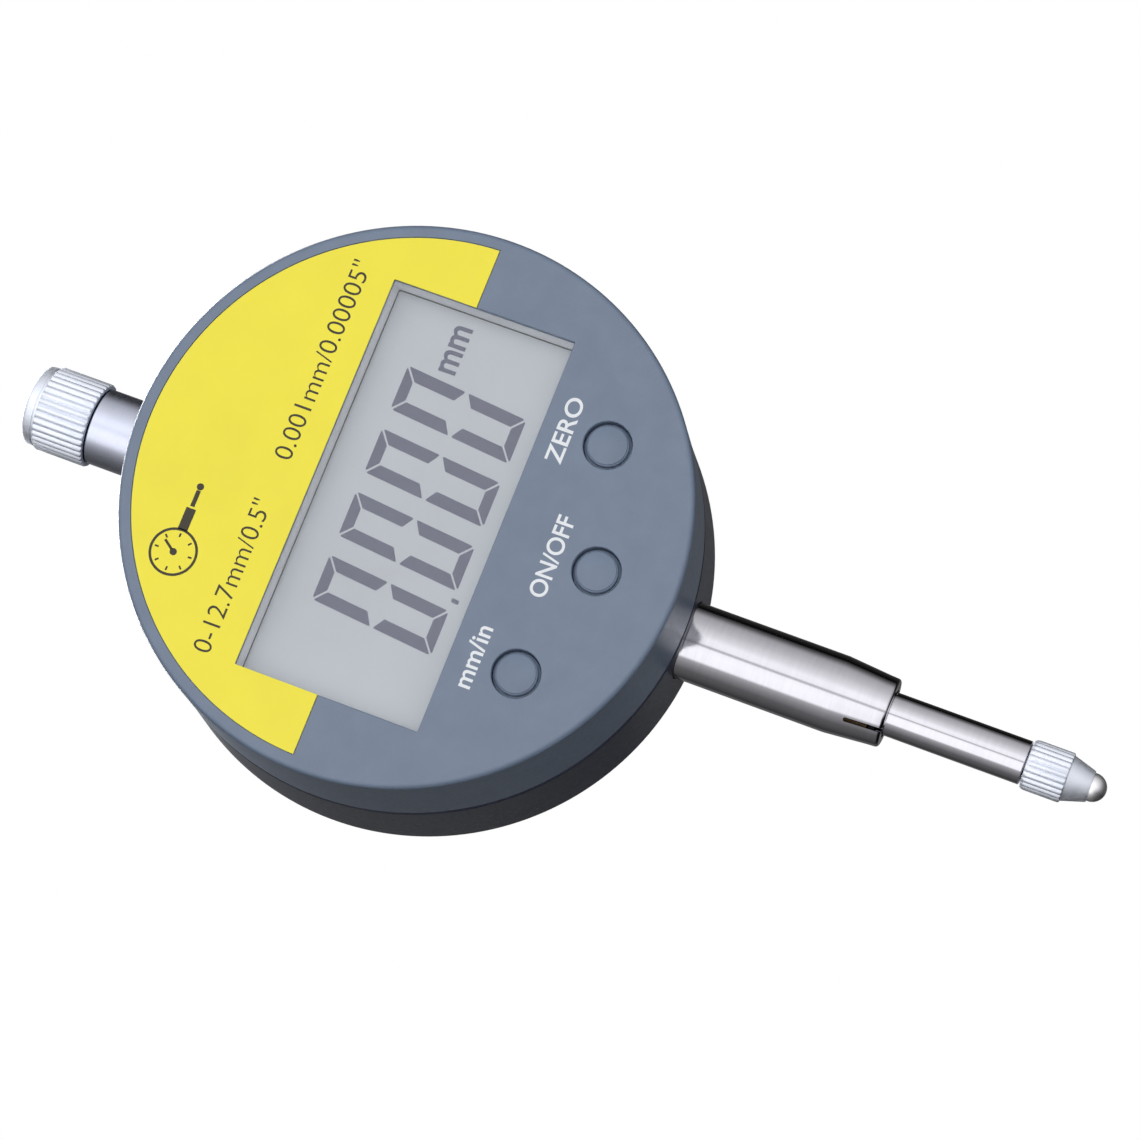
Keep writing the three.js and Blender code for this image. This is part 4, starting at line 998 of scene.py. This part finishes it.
# The room's soft panels, as metal and gloss show them: degrees around the spindle from the display's side
# towards +X, and brightness. The narrow dip is the gap between two panels that the camera looks through.
ROOM_BRIGHTNESS = 1.8
AROUND = [
    (-180, 0.09), (-160, 0.08), (-145, 0.03), (-100, 0.1), (-76, 0.24), (-64, 0.36), (-57, 0.96), (-30, 1.0),
    (-16, 0.97), (-12, 0.45), (-9, 0.45), (-5, 0.92), (10, 0.92), (24, 0.72), (48, 0.5), (76, 0.34),
    (92, 0.1), (106, 0.0), (140, 0.02), (162, 0.08), (180, 0.09),
]
# The panels' brightness by height: sine of the angle above the floor, and factor. The panels on the
# side towards -X, up to SIDE_DEGREES, are lower ones.
BY_HEIGHT = [(-1.0, 0.08), (-0.8, 0.5), (-0.5, 0.9), (-0.05, 1.03), (0.25, 0.97), (0.6, 1.05), (1.0, 0.9)]
SIDE_BY_HEIGHT = [(-1.0, 0.0), (-0.45, 0.06), (-0.12, 0.9), (0.0, 1.03), (0.3, 0.97), (0.55, 0.7), (1.0, 0.5)]
SIDE_DEGREES = (-40, -8)
# What matt surfaces see: the same light, gathered in front of the display.
MATT_BRIGHTNESS = 3.92
MATT_AROUND = [
    (-120, 0.0), (-90, 0.01), (-66, 0.025), (-44, 0.12), (-24, 0.75), (-5, 0.9), (18, 0.7), (38, 0.2),
    (70, 0.05), (100, 0.01), (120, 0.0),
]
MATT_BY_HEIGHT = [(-1.0, 0.1), (-0.5, 0.5), (0.0, 0.65), (0.5, 0.5), (1.0, 0.15)]


def camera():
    data = bpy.data.cameras.new("camera")
    data.lens = LENS_LENGTH
    data.sensor_width = SENSOR_WIDTH
    data.clip_start, data.clip_end = 0.01, 10
    eye = new_object("camera", data)
    turn = Matrix.Rotation(math.radians(VIEW_AZIMUTH), 4, "Z")
    rise = Matrix.Rotation(math.radians(90 + VIEW_RISE), 4, "X")
    roll = Matrix.Rotation(math.radians(-VIEW_ROLL), 4, "Z")
    eye.matrix_world = Matrix.Translation(CAMERA_SPOT * MM) @ turn @ rise @ roll
    bpy.context.scene.camera = eye


def softbox(name, direction):
    """A large soft light that faces the case's centre from the given direction."""
    data = bpy.data.lights.new(name, "AREA")
    data.shape = "RECTANGLE"
    data.size = data.size_y = SOFTBOX["size"] * MM
    data.energy = SOFTBOX["power"]
    lamp = new_object(name, data)
    spot = CASE + Vector(direction).normalized() * SOFTBOX["distance"]
    facing = (spot - CASE).to_track_quat("Z", "Y").to_matrix().to_4x4()
    lamp.matrix_world = Matrix.Translation(spot * MM) @ facing
    lamp.visible_camera = False


def grey_ramp(tree, value, low, high, stops):
    """A grey that follows a value through (value, brightness) stops."""
    ramp = tree.nodes.new("ShaderNodeValToRGB")
    ramp.color_ramp.elements.remove(ramp.color_ramp.elements[1])
    for i, (at, brightness) in enumerate(stops):
        where = (at - low) / (high - low)
        stop = ramp.color_ramp.elements.new(where) if i else ramp.color_ramp.elements[0]
        stop.position = where
        stop.color = (brightness, brightness, brightness, 1)
    tree.links.new(map_range(tree, value, (low, high)), ramp.inputs["Fac"])
    return ramp.outputs["Color"]


def arithmetic(tree, operation, one, two):
    node = tree.nodes.new("ShaderNodeMath")
    node.operation = operation
    for socket, value in zip(node.inputs, (one, two)):
        if isinstance(value, (int, float)):
            socket.default_value = value
        else:
            tree.links.new(value, socket)
    return node.outputs["Value"]


def light_from(tree, brightness, strength):
    """A world shader whose grey is given by a node's output."""
    shader = tree.nodes.new("ShaderNodeBackground")
    tree.links.new(brightness, shader.inputs["Color"])
    shader.inputs["Strength"].default_value = strength
    return shader.outputs["Background"]


def choice(tree, share, one, two):
    """The first shader where the share is 0, and the second where it is 1."""
    mix = tree.nodes.new("ShaderNodeMixShader")
    for socket, source in zip(mix.inputs, (share, one, two)):
        tree.links.new(source, socket)
    return mix.outputs["Shader"]


def studio():
    """A white backdrop, and a room of soft panels that lights the object and shows in its metal."""
    world = bpy.data.worlds.new("studio")
    world.use_nodes = True
    world.cycles.sampling_method = "NONE"
    bpy.context.scene.world = world
    tree = world.node_tree
    nodes, links = tree.nodes, tree.links
    parts = nodes.new("ShaderNodeSeparateXYZ")
    links.new(nodes.new("ShaderNodeTexCoord").outputs["Generated"], parts.inputs["Vector"])
    rise = parts.outputs["Z"]
    front = arithmetic(tree, "MULTIPLY", parts.outputs["Y"], -1)
    turn = arithmetic(tree, "ARCTAN2", parts.outputs["X"], front)
    degrees = arithmetic(tree, "MULTIPLY", turn, 180 / math.pi)
    height = nodes.new("ShaderNodeMix")
    links.new(map_range(tree, degrees, SIDE_DEGREES), height.inputs["Factor"])
    links.new(grey_ramp(tree, rise, -1, 1, SIDE_BY_HEIGHT), height.inputs["A"])
    links.new(grey_ramp(tree, rise, -1, 1, BY_HEIGHT), height.inputs["B"])
    across = grey_ramp(tree, degrees, -180, 180, AROUND)
    glossy = arithmetic(tree, "MULTIPLY", across, height.outputs["Result"])
    matt_across = grey_ramp(tree, degrees, -180, 180, MATT_AROUND)
    matt_height = grey_ramp(tree, rise, -1, 1, MATT_BY_HEIGHT)
    matt = arithmetic(tree, "MULTIPLY", matt_across, matt_height)
    backdrop = nodes["Background"]
    backdrop.inputs["Color"].default_value = (1, 1, 1, 1)
    path = nodes.new("ShaderNodeLightPath")
    room = choice(tree, path.outputs["Is Diffuse Ray"],
                  light_from(tree, glossy, ROOM_BRIGHTNESS),
                  light_from(tree, matt, MATT_BRIGHTNESS))
    seen = choice(tree, path.outputs["Is Camera Ray"], room, backdrop.outputs["Background"])
    links.new(seen, nodes["World Output"].inputs["Surface"])
    for name, direction in SOFTBOXES.items():
        softbox(name, direction)


def floor():
    """A pale floor under the object, which gives it no bounced light."""
    half, z = FLOOR["half"], FLOOR["z"]
    corners = [(-half, -half, z), (half, -half, z), (half, half, z), (-half, half, z)]
    plane = make("studio_floor", corners, [[0, 1, 2, 3]])
    pale = Finish("pale_floor", srgb(150, 151, 153), 0.8, Emission_Color=(1, 1, 1, 1), Emission_Strength=0.7)
    plane.data.materials.append(pale.mottle(0.02, 0.01).material)
    plane.visible_diffuse = False
    plane.visible_glossy = False


camera()
studio()
floor()
front_cover()
rear_case()
back_cover()
case_screws()
battery_cap()
face_label()
lcd_bezel()
painted_shadow_frame()
lens()
display_glass()
digits()
legends()
gauge_mark()
buttons()
stem()
neck()
dust_cap()
spindle()
contact_point()
contact_ball()
return_spring()
dress_cad_nodes()
bpy.context.scene.view_settings.view_transform = "Standard"
